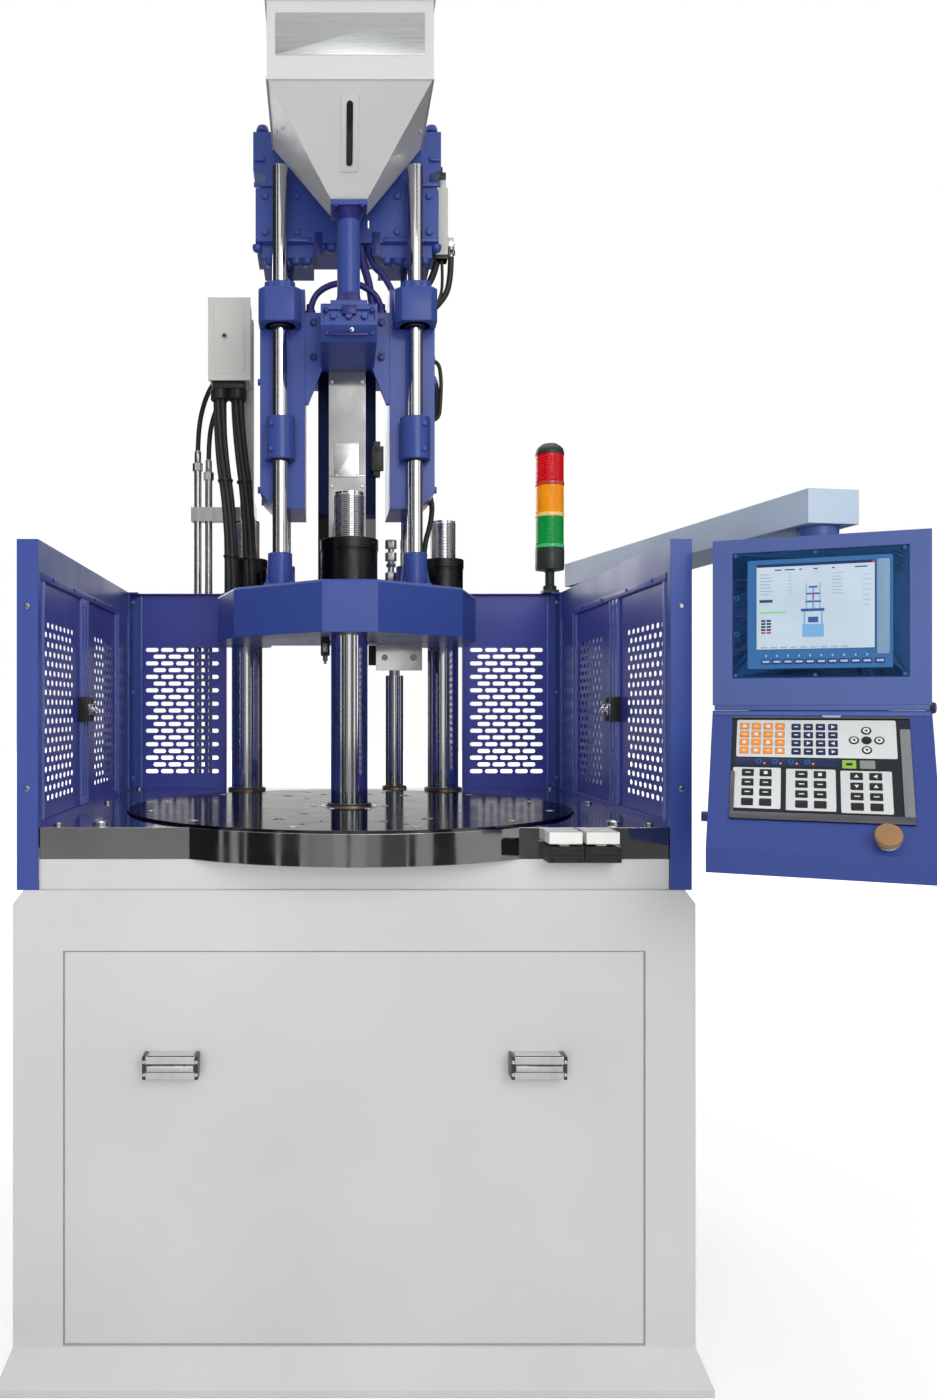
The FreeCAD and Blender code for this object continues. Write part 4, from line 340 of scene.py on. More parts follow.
class Look:
    """A node material built step by step on one Principled shader."""

    def __init__(self, name, colour, roughness, metallic=0.0, **sockets):
        self.material = bpy.data.materials.new(name)
        self.material.use_nodes = True
        self.tree = self.material.node_tree
        self.shader = self.tree.nodes["Principled BSDF"]
        self.colour = colour if len(colour) == 4 else linear(*colour)
        self.normal = None
        self.set(self.shader, Base_Color=self.colour, Roughness=roughness, Metallic=metallic, **sockets)

    def set(self, node, **inputs):
        """Give a node's sockets values or other nodes' outputs; an underscore stands for a space."""
        for name, value in inputs.items():
            socket = node.inputs[name.replace("_", " ")]
            if isinstance(value, bpy.types.NodeSocket):
                self.tree.links.new(value, socket)
            else:
                socket.default_value = value
        return node

    def node(self, kind, operation=None, **inputs):
        made = self.tree.nodes.new("ShaderNode" + kind)
        if operation:
            made.operation = operation
        return self.set(made, **inputs)

    def points(self):
        """Object coordinates."""
        return self.node("TexCoord").outputs["Object"]

    def noise(self, scale, stretch=EVEN, detail=3.0):
        """Noise in object coordinates, stretched along each axis."""
        spread = self.node("Mapping", Scale=stretch, Vector=self.points()).outputs["Vector"]
        return self.node("TexNoise", Scale=scale, Detail=detail, Roughness=0.5, Vector=spread).outputs["Fac"]

    def ramp(self, value, low, high):
        """Two colours over a value; low and high are (position, colour)."""
        made = self.node("ValToRGB", Fac=value)
        for element, (position, colour) in zip(made.color_ramp.elements, (low, high)):
            element.position, element.color = position, colour
        return made.outputs["Color"]

    def span(self, value, low, high, to_low, to_high):
        """A value carried from one range to another and held at its ends."""
        return self.node("MapRange", Value=value, From_Min=low, From_Max=high, To_Min=to_low,
                         To_Max=to_high).outputs["Result"]

    def mottle(self, scale, dark, light, stretch=EVEN):
        """Uneven base colour between two shares of itself."""
        self.set(self.shader, Base_Color=self.ramp(
            self.noise(scale, stretch), (0.3, scaled(self.colour, dark)), (0.7, scaled(self.colour, light))))
        return self

    def painted_shade_below(self, height, share):
        """Painted shade: base colour times a share under a height in metres."""
        spread = self.node("Mapping", Scale=EVEN, Vector=self.points()).outputs["Vector"]
        split = self.node("SeparateXYZ", Vector=spread)
        shade = self.span(split.outputs["Z"], height - 0.0005, height + 0.0005, share, 1.0)
        base = self.shader.inputs["Base Color"]
        dim = self.node("VectorMath", "SCALE", Vector=base.links[0].from_socket, Scale=shade)
        self.link(dim.outputs["Vector"], base)
        return self

    def link(self, a, b):
        self.tree.links.new(a, b)

    def sheen_spots(self, scale, low, high, stretch=EVEN):
        """Uneven roughness."""
        self.set(self.shader, Roughness=self.span(self.noise(scale, stretch), 0.3, 0.7, low, high))
        return self

    def bend(self, normal):
        """Take a normal as the surface's own."""
        self.normal = normal
        self.set(self.shader, Normal=normal)
        return self

    def soft_edges(self, radius):
        """Edges that catch light as if rounded by radius millimetres."""
        made = self.node("Bevel", Radius=radius * MM)
        made.samples = 4
        return self.bend(made.outputs["Normal"])

    def relief(self, height, depth, strength):
        """Bump from a height, depth in millimetres."""
        made = self.node("Bump", Strength=strength, Distance=depth * MM, Height=height)
        if self.normal is not None:
            self.set(made, Normal=self.normal)
        return self.bend(made.outputs["Normal"])

    def bump(self, scale, depth, strength=0.3, stretch=EVEN):
        """Fine unevenness of the surface, depth in millimetres."""
        return self.relief(self.noise(scale, stretch, 2.0), depth, strength)

    def tinted(self, share):
        """Lower the mirror at a glancing view, so that the steel reflects its surroundings darker there."""
        self.set(self.shader, Specular_Tint=(share, share, share, 1.0))
        return self

    def glow(self, colour, strength):
        """Light of its own."""
        self.set(self.shader, Emission_Color=colour, Emission_Strength=strength)
        return self

    def turned_marks(self, scale, depth):
        """Fine rings left by turning or grinding round the machine's own axis."""
        flat = self.node("VectorMath", "MULTIPLY", Vector=self.points())
        flat.inputs[1].default_value = (1.0, 1.0, 0.0)
        length = self.node("VectorMath", "LENGTH", Vector=flat.outputs["Vector"])
        made = self.node("TexNoise", Scale=scale, Detail=2.0)
        made.noise_dimensions = "1D"
        self.link(length.outputs["Value"], made.inputs["W"])
        return self.relief(made.outputs["Fac"], depth, 0.3)


def paint(name, colour, roughness=0.34, edges=1.6, coat=0.1, shade=None):
    """Sprayed enamel: slightly uneven colour, orange peel and rounded edges; shade is (height, share),
    painted shade that takes the base colour to that share below that height.
    """
    look = Look(name, colour, roughness, Coat_Weight=coat, Coat_Roughness=0.12, Specular_IOR_Level=0.3)
    look.mottle(2.2, 0.95, 1.04)
    if shade:
        look.painted_shade_below(*shade)
    look.sheen_spots(5.0, roughness - 0.05, roughness + 0.08)
    return look.soft_edges(edges).bump(320.0, 0.25, 0.12).material


def plastic(name, colour, roughness=0.4, edges=0.6, grain=0.1):
    """Moulded plastic with a fine grain."""
    look = Look(name, colour, roughness, Specular_IOR_Level=0.3)
    return look.mottle(6.0, 0.95, 1.05).soft_edges(edges).bump(900.0, grain, 0.15).material


def metal(name, colour, low, high, edges=0.8, stretch=EVEN, scale=6.0, wave=0.0, uneven=0.1):
    """Bare metal with uneven polish; stretch pulls the marks along an axis."""
    look = Look(name, colour, low, metallic=1.0)
    look.mottle(scale, 1.0 - uneven, 1.0 + uneven / 2, stretch)
    look.sheen_spots(scale * 2.5, low, high, stretch)
    look.soft_edges(edges)
    if wave:
        look.bump(5.0, wave, 0.5)
    return look


def rubber(name, colour, roughness=0.55):
    """Black sheath of cables and hoses."""
    return Look(name, colour, roughness).mottle(30.0, 0.8, 1.3).bump(260.0, 0.3, 0.25).material


def lens(name, colour):
    """Clear tinted plastic of the light tower."""
    look = Look(name, colour, 0.2, Coat_Weight=0.25, Coat_Roughness=0.05, Specular_IOR_Level=0.3)
    look.mottle(24.0, 0.85, 1.15, (1.0, 1.0, 0.3)).glow(look.colour, 0.12).bump(400.0, 0.1, 0.1)
    return look.material


def lit(name, colour, strength):
    """A pane that glows softly from behind."""
    look = Look(name, colour, 0.15)
    return look.mottle(9.0, 0.92, 1.06).glow(look.colour, strength).material


BLUE = paint("blue_enamel", (56, 76, 150), edges=2.5)
# A darker copy of the blue enamel: painted shade on the crosshead's bolts and collars, the thrust block's
# recess blocks and the hose ends.
SHADED_COPY_BLUE = paint("shaded_copy_blue_enamel", (36, 38, 112), edges=2.0)
# A more saturated copy of the blue enamel for the rear panels, leaves and stops: painted shade, the blue as
# it looks in shade.
GUARD_SHADE_TINT_BLUE = paint("guard_shade_tint_enamel", (60, 68, 156), edges=2.0)
BOX_BLUE = paint("control_box_blue", (72, 90, 150), edges=2.5)
KEY_BLUE = paint("keypad_blue", (48, 66, 134), edges=2.5)
GREY = paint("cabinet_grey", (204, 204, 204), roughness=0.42, edges=3.0)
# The hopper's white is painted 18% darker below 2.7 m: painted shade on its downward-facing cone.
WHITE = paint("hopper_white", (214, 214, 214), roughness=0.4, edges=2.0, shade=(2.7, 0.82))
BEIGE = paint("junction_beige", (205, 205, 198), roughness=0.45, edges=1.5, coat=0.05)
ARM_PAINT = paint("arm_pale_blue", (186, 202, 220), roughness=0.4, edges=3.0, coat=0.15)
MACHINE_GREY = paint("drive_grey", (95, 100, 104), roughness=0.45)
CHROME = metal("hard_chrome", (0.80, 0.80, 0.82, 1.0), 0.05, 0.10, 0.8,
               (30.0, 30.0, 1.0), 2.0).bump(60.0, 0.02, 0.1, (1.0, 1.0, 20.0)).material
POLISHED = metal("polished_steel", (0.56, 0.56, 0.56, 1.0), 0.05, 0.12, 1.5, wave=2.0).bump(
    26.0, 0.12, 0.25, (1.0, 1.0, 0.4)).material
COVER_STEEL = metal("cover_stainless", (0.40, 0.40, 0.40, 1.0), 0.06, 0.13, 1.2, wave=5.0).material
TABLE_STEEL = metal("ground_table", (0.14, 0.14, 0.142, 1.0), 0.07, 0.17, 1.2, wave=0.5,
                    uneven=0.5).turned_marks(900.0, 0.03).tinted(0.4).material
BARE_STEEL = metal("machined_steel", (0.50, 0.50, 0.51, 1.0), 0.22, 0.36, 0.8).bump(500.0, 0.05, 0.2).material
BLACK_STEEL = metal("black_oxide", (0.035, 0.035, 0.037, 1.0), 0.24, 0.42, 1.0).material
BRONZE = metal("bronze", (0.55, 0.38, 0.18, 1.0), 0.22, 0.34).material
BRUSHED = metal("brushed_plate", (0.42, 0.43, 0.44, 1.0), 0.24, 0.36, 0.6, (2.0, 2.0, 160.0), 3.0).bump(
    40.0, 0.04, 0.25, (1.0, 1.0, 60.0)).material
PIPE_STEEL = metal("drawn_tube", (0.62, 0.62, 0.62, 1.0), 0.16, 0.28, 0.5, (30.0, 30.0, 1.0), 2.0).material
RUBBER = rubber("cable_black", (0.018, 0.018, 0.018, 1.0))
# Blue hose whose dark tone is partly painted shade, the shaded blue seen behind the feed tube.
HOSE_SHADED_BLUE = rubber("hose_shaded_blue", (38, 38, 110), 0.4)
BLACK_PLASTIC = plastic("black_plastic", (0.02, 0.02, 0.021, 1.0))
# Near-black plastic for rings and discs that stand in for holes: painted shade.
HOLE_SHADE_BLACK = plastic("painted_hole_shade", (0.006, 0.006, 0.007, 1.0), 0.6)
WHITE_PLASTIC = plastic("start_cap_white", (232, 232, 228), 0.28)
GLASS_BLACK = plastic("sight_glass_black", (0.012, 0.012, 0.013, 1.0), 0.08)
# A lighter copy of the blue enamel: painted highlight on the leaves' folded seams and the corner folds.
HIGHLIGHT_COPY_BLUE = paint("painted_highlight_blue", (92, 104, 176), roughness=0.26, edges=2.0)
DARK_STEEL = metal("dark_steel", (0.10, 0.10, 0.11, 1.0), 0.25, 0.40, 0.8).material
TOWER_BLACK = plastic("tower_black", (45, 55, 50), 0.35)
LENS_RED, LENS_AMBER, LENS_GREEN, RING_GREEN, RING_AMBER, RING_RED = (lens(*named) for named in (
    ("lens_red", (206, 4, 18)), ("lens_amber", (250, 150, 0)), ("lens_green", (0, 146, 58)),
    ("ring_green", (70, 180, 110)), ("ring_amber", (246, 205, 130)), ("ring_red", (190, 60, 60))))
SCREEN_PALE = lit("screen_pale", (184, 200, 214), 0.06)
BEZEL_BLUE, BEZEL_SCREW, PANEL_BLUE, PALE_MARK, KEY_NAVY, GOLD_PLASTIC = (plastic(*named, 0.3) for named in (
    ("bezel_blue", (0, 60, 112)), ("bezel_screw", (30, 90, 140)), ("panel_blue", (42, 100, 155)),
    ("pale_mark", (150, 180, 210)), ("key_navy", (20, 32, 75)), ("stop_button_gold", (150, 116, 78))))
INKS = [plastic("ink_" + name, colour, 0.3) for name, colour in (
    ("navy", (30, 45, 95)), ("red", (190, 45, 60)), ("grey", (150, 165, 190)), ("dark_green", (20, 80, 80)),
    ("green", (120, 215, 120)), ("sky", (110, 165, 210)), ("blue", (30, 85, 150)))]
PANEL_PALE = plastic("panel_pale", (120, 150, 178), 0.25)
FIELD_BLACK = plastic("field_black", (22, 24, 34), 0.25)
KEY_ORANGE, KEY_MARK = plastic("key_orange", (235, 140, 45), 0.4), plastic("key_mark", (220, 222, 226), 0.4)
LABEL_PALE, KEY_BLACK, KEY_GREEN, KEY_GREY, LEDGE_GREY = (plastic(*named, 0.35) for named in (
    ("label_pale", (205, 208, 208)), ("key_black", (20, 20, 24)), ("key_green", (140, 180, 70)),
    ("key_grey", (130, 135, 132)), ("ledge_grey", (120, 125, 125))))

LOOKS = {
    BLUE: "upper_platen rod_bosses injection_crosshead injection_cylinders feed_tube "
          "thrust_block screw_motor guard_frame_left guard_frame_right",
    GUARD_SHADE_TINT_BLUE: "rear_guard_left rear_guard_right guard_leaf_front_left guard_leaf_front_right "
                "guard_leaf_rear_left guard_leaf_rear_right",
    BOX_BLUE: "screen_housing",
    KEY_BLUE: "keypad_housing",
    GREY: "base_frame front_cover",
    WHITE: "hopper hopper_lid",
    BEIGE: "junction_box stroke_sensor",
    ARM_PAINT: "swing_arm arm_post",
    MACHINE_GREY: "index_motor clamp_cylinder oil_tank pump_set",
    BLACK_STEEL: "column_nuts",
    TOWER_BLACK: "tower_pole",
    GOLD_PLASTIC: "emergency_button",
    BEZEL_BLUE: "screen_panel",
    FIELD_BLACK: "keypad_panel",
    LENS_AMBER: "tower_lenses",
    RUBBER: "cable_bundle injection_hoses",
    CHROME: "front_column rear_columns guide_rods safety_rod clamp_rod piston_rods cover_handles",
    POLISHED: "bed_plate safety_bracket",
    COVER_STEEL: "barrel_cover",
    TABLE_STEEL: "rotary_table",
    BARE_STEEL: "lower_crosshead ring_gear drive_pinion table_bearing barrel screw",
    BRONZE: "column_bushes",
    PIPE_STEEL: "oil_pipes",
    BLACK_PLASTIC: "start_boxes sight_glass",
    WHITE_PLASTIC: "start_button_left start_button_right",
}


def dress_cad_nodes():
    """Give every carried-over node its material."""
    for material, names in LOOKS.items():
        for name in names.split():
            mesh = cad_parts[name].data
            mesh.materials.clear()
            mesh.materials.append(material)


# ---------------------------------------------------------------- guard
GUARD_TOP = 1629
LEAF_X = (610.0, 612.0)
LEAF_RIM_X = 628.0
LEAF_Z = (1080.0, 1558.0)
HOLE_LOW = 1125.0
HOLE_ROW = 19.2
HOLE_ROWS = 19
LEAF_SLOT = (23.0, 11.0)    # length and height
REAR_SLOT = (36.0, 11.5)
REAR_PITCH = 43.0
HINGE_X = 634.0
HINGE_SPAN = (1136.3, 1501.7)
LEAVES = {   # span in y, span of the holes, hinge axis, span of the latch, columns of holes
    "front": ((-385.0, -27.0), (-362.0, -103.0), -381.0, (-57.0, -31.0), 8),
    "rear": ((-23.0, 366.0), (110.0, 350.0), 362.0, (-19.0, 7.0), 7)}


def leaf(place_name, side, side_name):
    """A folded leaf with its true rows of small slots, hinge knuckle and latch."""
    front = place_name == "front"
    name = "leaf_%s_%s" % (place_name, side_name)
    (y0, y1), (h0, h1), axis, (l0, l1), columns = LEAVES[place_name]
    z0, z1 = LEAF_Z
    pitch = (h1 - h0 - 24.0) / (columns - 1)
    holes = [obround(h0 + 12 + k * pitch + (pitch / 2 if row % 2 else 0.0), HOLE_LOW + row * HOLE_ROW,
                     *LEAF_SLOT, 4)
             for row in range(HOLE_ROWS) for k in range(columns - row % 2)]
    shape = Shape()
    shape.holed_sheet([(y0, z0), (y1, z0), (y1, z1), (y0, z1)], holes, *LEAF_X,
                      Matrix(((0, 0, side, 0), (1, 0, 0, 0), (0, 1, 0, 0), (0, 0, 0, 1))))
    for rim in ((y0, y0 + 2, z0, z1), (y1 - 2, y1, z0, z1),
                (y0 + 1, y1 - 1, z0, z0 + 2), (y0 + 1, y1 - 1, z1 - 2, z1)):
        shape.box(*mirrored(side, LEAF_X[1] - 0.5, LEAF_RIM_X), *rim, 0.5)
    low, high = HINGE_SPAN
    shape.lathe([(3.1, low), (6.4, low), (6.4, high), (3.1, high)], place(side * HINGE_X, axis), 20)
    shape.box(*mirrored(side, LEAF_RIM_X - 1, HINGE_X - 4), *sorted((axis, axis + (24 if front else -24))),
              low, high, 0.4)
    shape.done(name, name, [GUARD_SHADE_TINT_BLUE], "blue_paint", ("guard_" + name,))
    latch = Shape()
    latch.box(*mirrored(side, 588, 610), l0, l1, 1274, 1330, 3.0)
    latch.box(*mirrored(side, 582, 590), l0 + 5, l1 - 5, 1288, 1316, 2.0, mat=1)
    latch.head(6, 9, 4.5, 11, inward(side, 588, (l0 + l1) / 2, 1302), 20, 1)
    latch.box(*mirrored(side, 596, 603), *sorted((l0 + 8, l0 + (58 if front else -22))), 1306, 1322, 2.5)
    latch.done("latch" + name[4:], name, [BLACK_PLASTIC, CHROME], "start_black")


def rear_panel(side, side_name):
    """Rear guard sheet with rows of obround slots and folded edges."""
    x0, x1 = mirrored(side, 335, 580)
    holes = []
    for row in range(HOLE_ROWS):
        count = 5 - row % 2
        holes += [obround(side * 462 + (k - (count - 1) / 2) * REAR_PITCH, HOLE_LOW + row * HOLE_ROW,
                          *REAR_SLOT) for k in range(count)]
    shape = Shape()
    shape.holed_sheet([(x0, 1075), (x1, 1075), (x1, GUARD_TOP), (x0, GUARD_TOP)], holes, 587, 590,
                      Matrix(((1, 0, 0, 0), (0, 0, 1, 0), (0, 1, 0, 0), (0, 0, 0, 1))))
    shape.box(*mirrored(side, 335, 338), 568, 588, 1075, GUARD_TOP, 0.8)
    shape.box(x0, x1, 568, 588, GUARD_TOP - 3, GUARD_TOP, 0.8)
    shape.done("rear_panel_" + side_name, "base", [GUARD_SHADE_TINT_BLUE], "blue_paint", ("rear_guard_" + side_name,))


def guard_screws():
    """Small screws on the guard's posts."""
    shape = Shape()
    for side, z in product(BOTH, (1500.0, 1150.0)):
        shape.head(5.5, 1.5, 3.5, 3, facing(side * 627, -410, z), 20, z0=-1)
    shape.done("guard_screws", "base", [BARE_STEEL], "machined_steel")


# ---------------------------------------------------------------- columns, rods and platen
PLATEN_TOP = 1592.0
FRONT_COLUMN = (0.0, 0.0)
REAR_COLUMNS = ((-270.0, 490.0), (270.0, 490.0))
ROD_X = 166.0
ROD_YS = (171.0, 417.0)


def column_ends():
    """Threads above the nuts, with the clamping rings of the nuts and their small holes, drawn as near-black
    rings and discs of painted shade.
    """
    steel, black = Shape(), Shape()
    for (x, y), z0, z1, r_nut in [(FRONT_COLUMN, 1689, 1799, 65)] + [
            (column, 1711, 1818, 55) for column in REAR_COLUMNS]:
        where = place(x, y)
        steel.thread(35.3, 4.0, z0, z1 - 3, where)
        black.ring(36.0, r_nut + 2.0, z0 - 24, z0 + 1.5, where, 64, edge=1.5)
        black.ring(r_nut - 8, r_nut + 0.8, z0 - 29, z0 - 26, where, 64, edge=0.6)
        for k in range(6):
            hole = spoke(x, y, z0 - 55 - 12 * (k % 2), 20 + 60 * k, r_nut - 0.5) @ SIDEWAYS
            # Each small hole is a near-black ring and disc: painted shade.
            black.ring(3.0, 4.6, 0, 1.2, hole, 16, 1, edge=0.4)
            black.pin(3.0, 0.4, 0.8, hole, 16, 1)
        for k in range(2):
            black.cap_screw(5.0, 3.5, spoke(x, y, z0 - 12, -35 + 180 * k, r_nut + 1.2) @ SIDEWAYS)
    steel.done("column_threads", "clamp", [BARE_STEEL], "machined_steel", sharp=20)
    black.done("nut_rings", "clamp", [BLACK_STEEL, HOLE_SHADE_BLACK], "black_steel")


def boss_details():
    """Gussets and flange bolts at the foot of the guide rods."""
    blue, bolts = Shape(), Shape()
    for x, y in product((-ROD_X, ROD_X), ROD_YS):
        for side in BOTH:
            blue.prism([(29, 0), (37, 0), (29, 46)], -3.5, 3.5, 0.8,
                       place(x, y, PLATEN_TOP + 16, (90, 0, 0 if side > 0 else 180)))
            for back in BOTH:
                bolts.cap_screw(5.5, 6.5, place(x + side * 29, y + back * 29, PLATEN_TOP + 16))
        blue.ring(19.2, 28.0, PLATEN_TOP + 91, PLATEN_TOP + 93.5, place(x, y), 40, edge=0.8)
    blue.done("boss_gussets", "clamp", [BLUE], "blue_paint")
    bolts.done("boss_bolts", "clamp", [BLUE], "blue_paint")


def platen_details():
    """Limit switch, port fitting and the bracket's block and screws on the upper platen."""
    switch = Shape()
    switch.box(-66, -44, 120, 158, 1432, 1474, 2.5)
    switch.box(-62, -48, 117, 121, 1440, 1462, 1.0, mat=1)
    switch.lathe([(0, 0), (6, 0), (6, 12), (3, 14), (3, 20), (0, 20)], hanging(-55, 139, 1432), 20, 1)
    switch.done("limit_switch", "clamp", [BLACK_PLASTIC, BARE_STEEL], "start_black")
    fitting = Shape()
    where = place(124, 452, PLATEN_TOP)
    fitting.head(9, 168, 6, 171, where, 24)
    for z in (2, 58, 112, 146):
        fitting.hexagon(16, z, z + 24, where, bevel=1.5)
    for z in (40, 96):
        fitting.lathe([(0, z), (12, z), (14, z + 6), (12, z + 12), (0, z + 12)], where, 24)
    fitting.done("port_fitting", "clamp", [BARE_STEEL], "machined_steel")
    Shape().box(60, 79, 366, 384, 1418, 1470, 1.5).done(
        "bracket_block", "clamp", [BLACK_PLASTIC], "start_black")
    screws = Shape()
    for x in (102, 178):
        screws.cap_screw(8, 7, facing(x, 362, 1438))
    screws.done("bracket_screws", "clamp", [BARE_STEEL], "machined_steel")


# ---------------------------------------------------------------- injection carriage
def bush_housings():
    """Chamfered housings round the upper bushes, wiper rings and the blocks' screws."""
    blue, wipers = Shape(), Shape()
    outline = [(-52, 20), (-52, -28), (-36, -46), (36, -46), (52, -28), (52, 20)]
    y_rod = ROD_YS[0]
    for side in BOTH:
        x = side * ROD_X
        blue.prism([(px + x, py + y_rod) for px, py in outline], 2243, 2326, 3.0)
        blue.prism([(x + px * 0.72, y_rod + (py * 0.72 if py < 0 else py)) for px, py in outline],
                   2325, 2345, 2.0)
        for z, under, over in ((1914, 1.2, 0.4), (2017, 0.4, 1.2), (2243, 1.2, 0.4), (2345, 0.4, 1.2)):
            wipers.ring(19.2, 25.0, z - under, z + over, place(x, y_rod), 40, edge=0.3)
        for z in (1935, 1996):
            blue.head(6, 5, 4, 7, facing(x + side * 20, 140, z), 16)
        for y, z in product((215, 373), (1850, 2120)):
            blue.hexagon(9, 0, 7, outward(side, 216.5, y, z))
    blue.done("bush_housings", "carriage", [BLUE], "blue_paint")
    wipers.done("rod_wipers", "carriage", [RUBBER], "cable_black")


def crosshead_details():
    """Bolts, bars, collars of the feed tube and grease nipple on the front of the crosshead."""
    blue = Shape()
    for x, y, zs, r, h in ((53.36, 20, (2174, 2228), 6.5, 6), (84, 196, (2176, 2262), 9, 8)):
        for side, z in product(BOTH, zs):
            blue.hexagon(r, 0, h, facing(side * x, y, z))
    blue.box(-17, 17, 16, 30, 2218, 2240, 3.0)
    blue.box(-44, 44, 22, 29, 2170, 2177, 1.5)
    for side in BOTH:
        blue.hexagon(7, 0, 7, place(side * 24, 40, 2252))
        blue.hexagon(7, 0, 7, hanging(side * 31.2, 24, 2474))
    blue.lathe([(27, 0), (38, 0), (30, 14), (27, 26)], place(0, 65, 2252), 40)
    blue.lathe([(27, 0), (30, 10), (38, 24), (27, 24)], place(0, 65, 2450), 40)
    blue.done("crosshead_bolts", "carriage", [SHADED_COPY_BLUE], "blue_paint")
    nipple = Shape()
    where = facing(6, 28, 2184)
    nipple.hexagon(5.5, 0, 5, where)
    nipple.lathe([(0, 4), (3.4, 4), (3.4, 9), (2.0, 11), (3.0, 13), (0, 14)], where, 16)
    nipple.head(3.5, 16, 2, 19, hanging(46, 60, 2452), 16)
    nipple.done("grease_nipple", "carriage", [CHROME], "machined_steel")


def barrel_cover_details():
    """Seams, screws, bare plate and bracket of the octagonal barrel cover."""
    steel, plate, bracket = Shape(), Shape(), Shape()
    for x, z in product((-38, 38), (1625, 1860, 2120)):
        steel.cap_screw(4.5, 3.5, facing(x, 215, z))
    steel.box(-46, 46, 213.6, 215.2, 1884, 1887, 0.4)
    steel.done("cover_screws", "carriage", [BARE_STEEL], "machined_steel")
    plate.prism(rounded(-31, 31, -43, 43, 3), 0, 1.2, 0.4, facing(-2, 215, 1925))
    for x, z in product((-26, 26), (-38, 38)):
        plate.pin(2.2, 1.2, 2.0, facing(-2 + x, 215, 1925 + z), 12, tip=2.4)
    plate.done("bare_plate", "carriage", [BRUSHED], "polished_steel")
    bracket.box(58, 84, 236, 262, 1890, 1978, 2.0)
    bracket.box(62, 92, 230, 238, 1902, 1964, 1.5)
    for z in (1908, 1956):
        bracket.cap_screw(4.5, 4, facing(76, 230, z))
    bracket.done("cover_bracket", "carriage", [BLACK_PLASTIC], "start_black")


def slope_frame(x, y0, z0, y1, z1):
    """A frame on a sloping front face that runs from (y0, z0) up to (y1, z1)."""
    up = Vector((0.0, y1 - y0, z1 - z0)).normalized()
    right = Vector((1.0, 0.0, 0.0))
    m = Matrix((right, up, right.cross(up))).transposed().to_4x4()
    m.translation = mm(x, y0, z0)
    return m


def hopper_details():
    """Front plate, folded seams, raised sight frame and lid clips of the hopper."""
    white, clips = Shape(), Shape()
    Shape().prism(rounded(-166, 166, 2755, 2849, 2), 0, 1.2, 0.3, facing(0, -85, 0)).done(
        "hopper_plate", "carriage", [BRUSHED], "polished_steel")
    white.box(-187.5, 187.5, -87.0, -84.5, 2700, 2707, 1.0)
    for side in BOTH:
        white.box(*mirrored(side, 185, 187.5), -86, 216, 2700, 2707, 1.0)
        white.head(5, 2, 3, 3.5, place(side * 168, 60, 2662, (0, 58 * side, 0)), 16)
        clips.box(*mirrored(side, 96, 118), 212, 218, 2836, 2862, 1.0)
        clips.box(*mirrored(side, 100, 114), 217, 221, 2846, 2872, 1.0)
    front = slope_frame(0, 22.5, 2486, -85, 2704)
    white.prism(rounded(-21, 21, 56, 214, 3), -0.5, 1.6, 0.7, front)
    white.prism(rounded(-45, 45, 2, 22, 2), -0.5, 1.4, 0.6, front)
    white.done("hopper_folds", "carriage", [WHITE], "hopper_paint")
    for name, length, height, t0, t1, look, slot in (
            ("sight_cover", 132, 15, 1.0, 2.6, GLASS_BLACK, "sight_glass"),
            ("sight_frame", 138, 21, 0.8, 2.0, WHITE, "hopper_paint")):
        outline = [(b, a) for a, b in obround(134, 0, length, height)][::-1]
        Shape().prism(outline, t0, t1, 0.5, front).done(name, "carriage", [look], slot)
    clips.done("lid_clips", "carriage", [BARE_STEEL], "machined_steel")


# ---------------------------------------------------------------- thrust block, motor and sensor
def thrust_details():
    """Bolt heads, casting ribs, motor flange and covers of the thrust block."""
    blue, flange, knob, ports = Shape(), Shape(), Shape(), Shape()
    for x, drop in ((-226, 0), (-196, 34), (-128, 34), (-100, 34), (-66, 0), (-40, 0), (22, 0), (66, 0),
                    (100, 34), (128, 34), (196, 34), (226, 0)):
        blue.lathe([(0, 0), (13, 0), (13, 6), (11, 13), (6, 17), (0, 18)], hanging(x, 242, 2473 - drop), 24)
    for side in BOTH:
        # The blocks at 62 to 84 mm take the darker blue copy: painted shade of recesses.
        for a, b, y0, y1, z0, z1, bevel, mat in (
                (92, 230, 219, 226, 2474, 2486, 2.5, 0), (206, 233, 218, 226, 2676, 2688, 2.0, 0),
                (150, 234, 217, 226, 2612, 2622, 2.0, 0), (62, 84, 222, 232, 2440, 2500, 2.0, 1)):
            blue.box(*mirrored(side, a, b), y0, y1, z0, z1, bevel, mat=mat)
        for x, z in product((126, 206), (2500, 2590)):
            blue.head(9, 4, 7, 6, facing(side * x, 225, z), 20)
        blue.lathe([(0, -2), (16, -2), (16, 6), (13, 14), (6, 18), (0, 19)], place(side * 214, 255, 2766), 28)
        port = outward(side, 57, 288, 2735)
        ports.hexagon(15, 0, 20, port, bevel=1.5)
        ports.pin(10, 18, 34, port, 20)
    blue.done("thrust_bolts", "inject", [BLUE, SHADED_COPY_BLUE], "blue_paint")
    for z0, z1 in ((2648, 2660), (2700, 2708)):
        flange.ring(58.2, 69, z0, z1, place(0, 288), 64, edge=2)
    for k in range(8):
        flange.cap_screw(4, 6, spoke(0, 288, 2660, 22.5 + 45 * k, 64))
    flange.done("motor_flange", "inject", [CHROME], "machined_steel")
    knob.lathe([(0, 0), (5, 0), (5, 6), (10, 9), (10, 22), (7, 25), (0, 25)],
               inward(1, 136, 250, 2724), 24)
    knob.done("vent_knob", "inject", [BLACK_PLASTIC], "start_black")
    ports.done("motor_ports", "inject", [BARE_STEEL], "machined_steel")


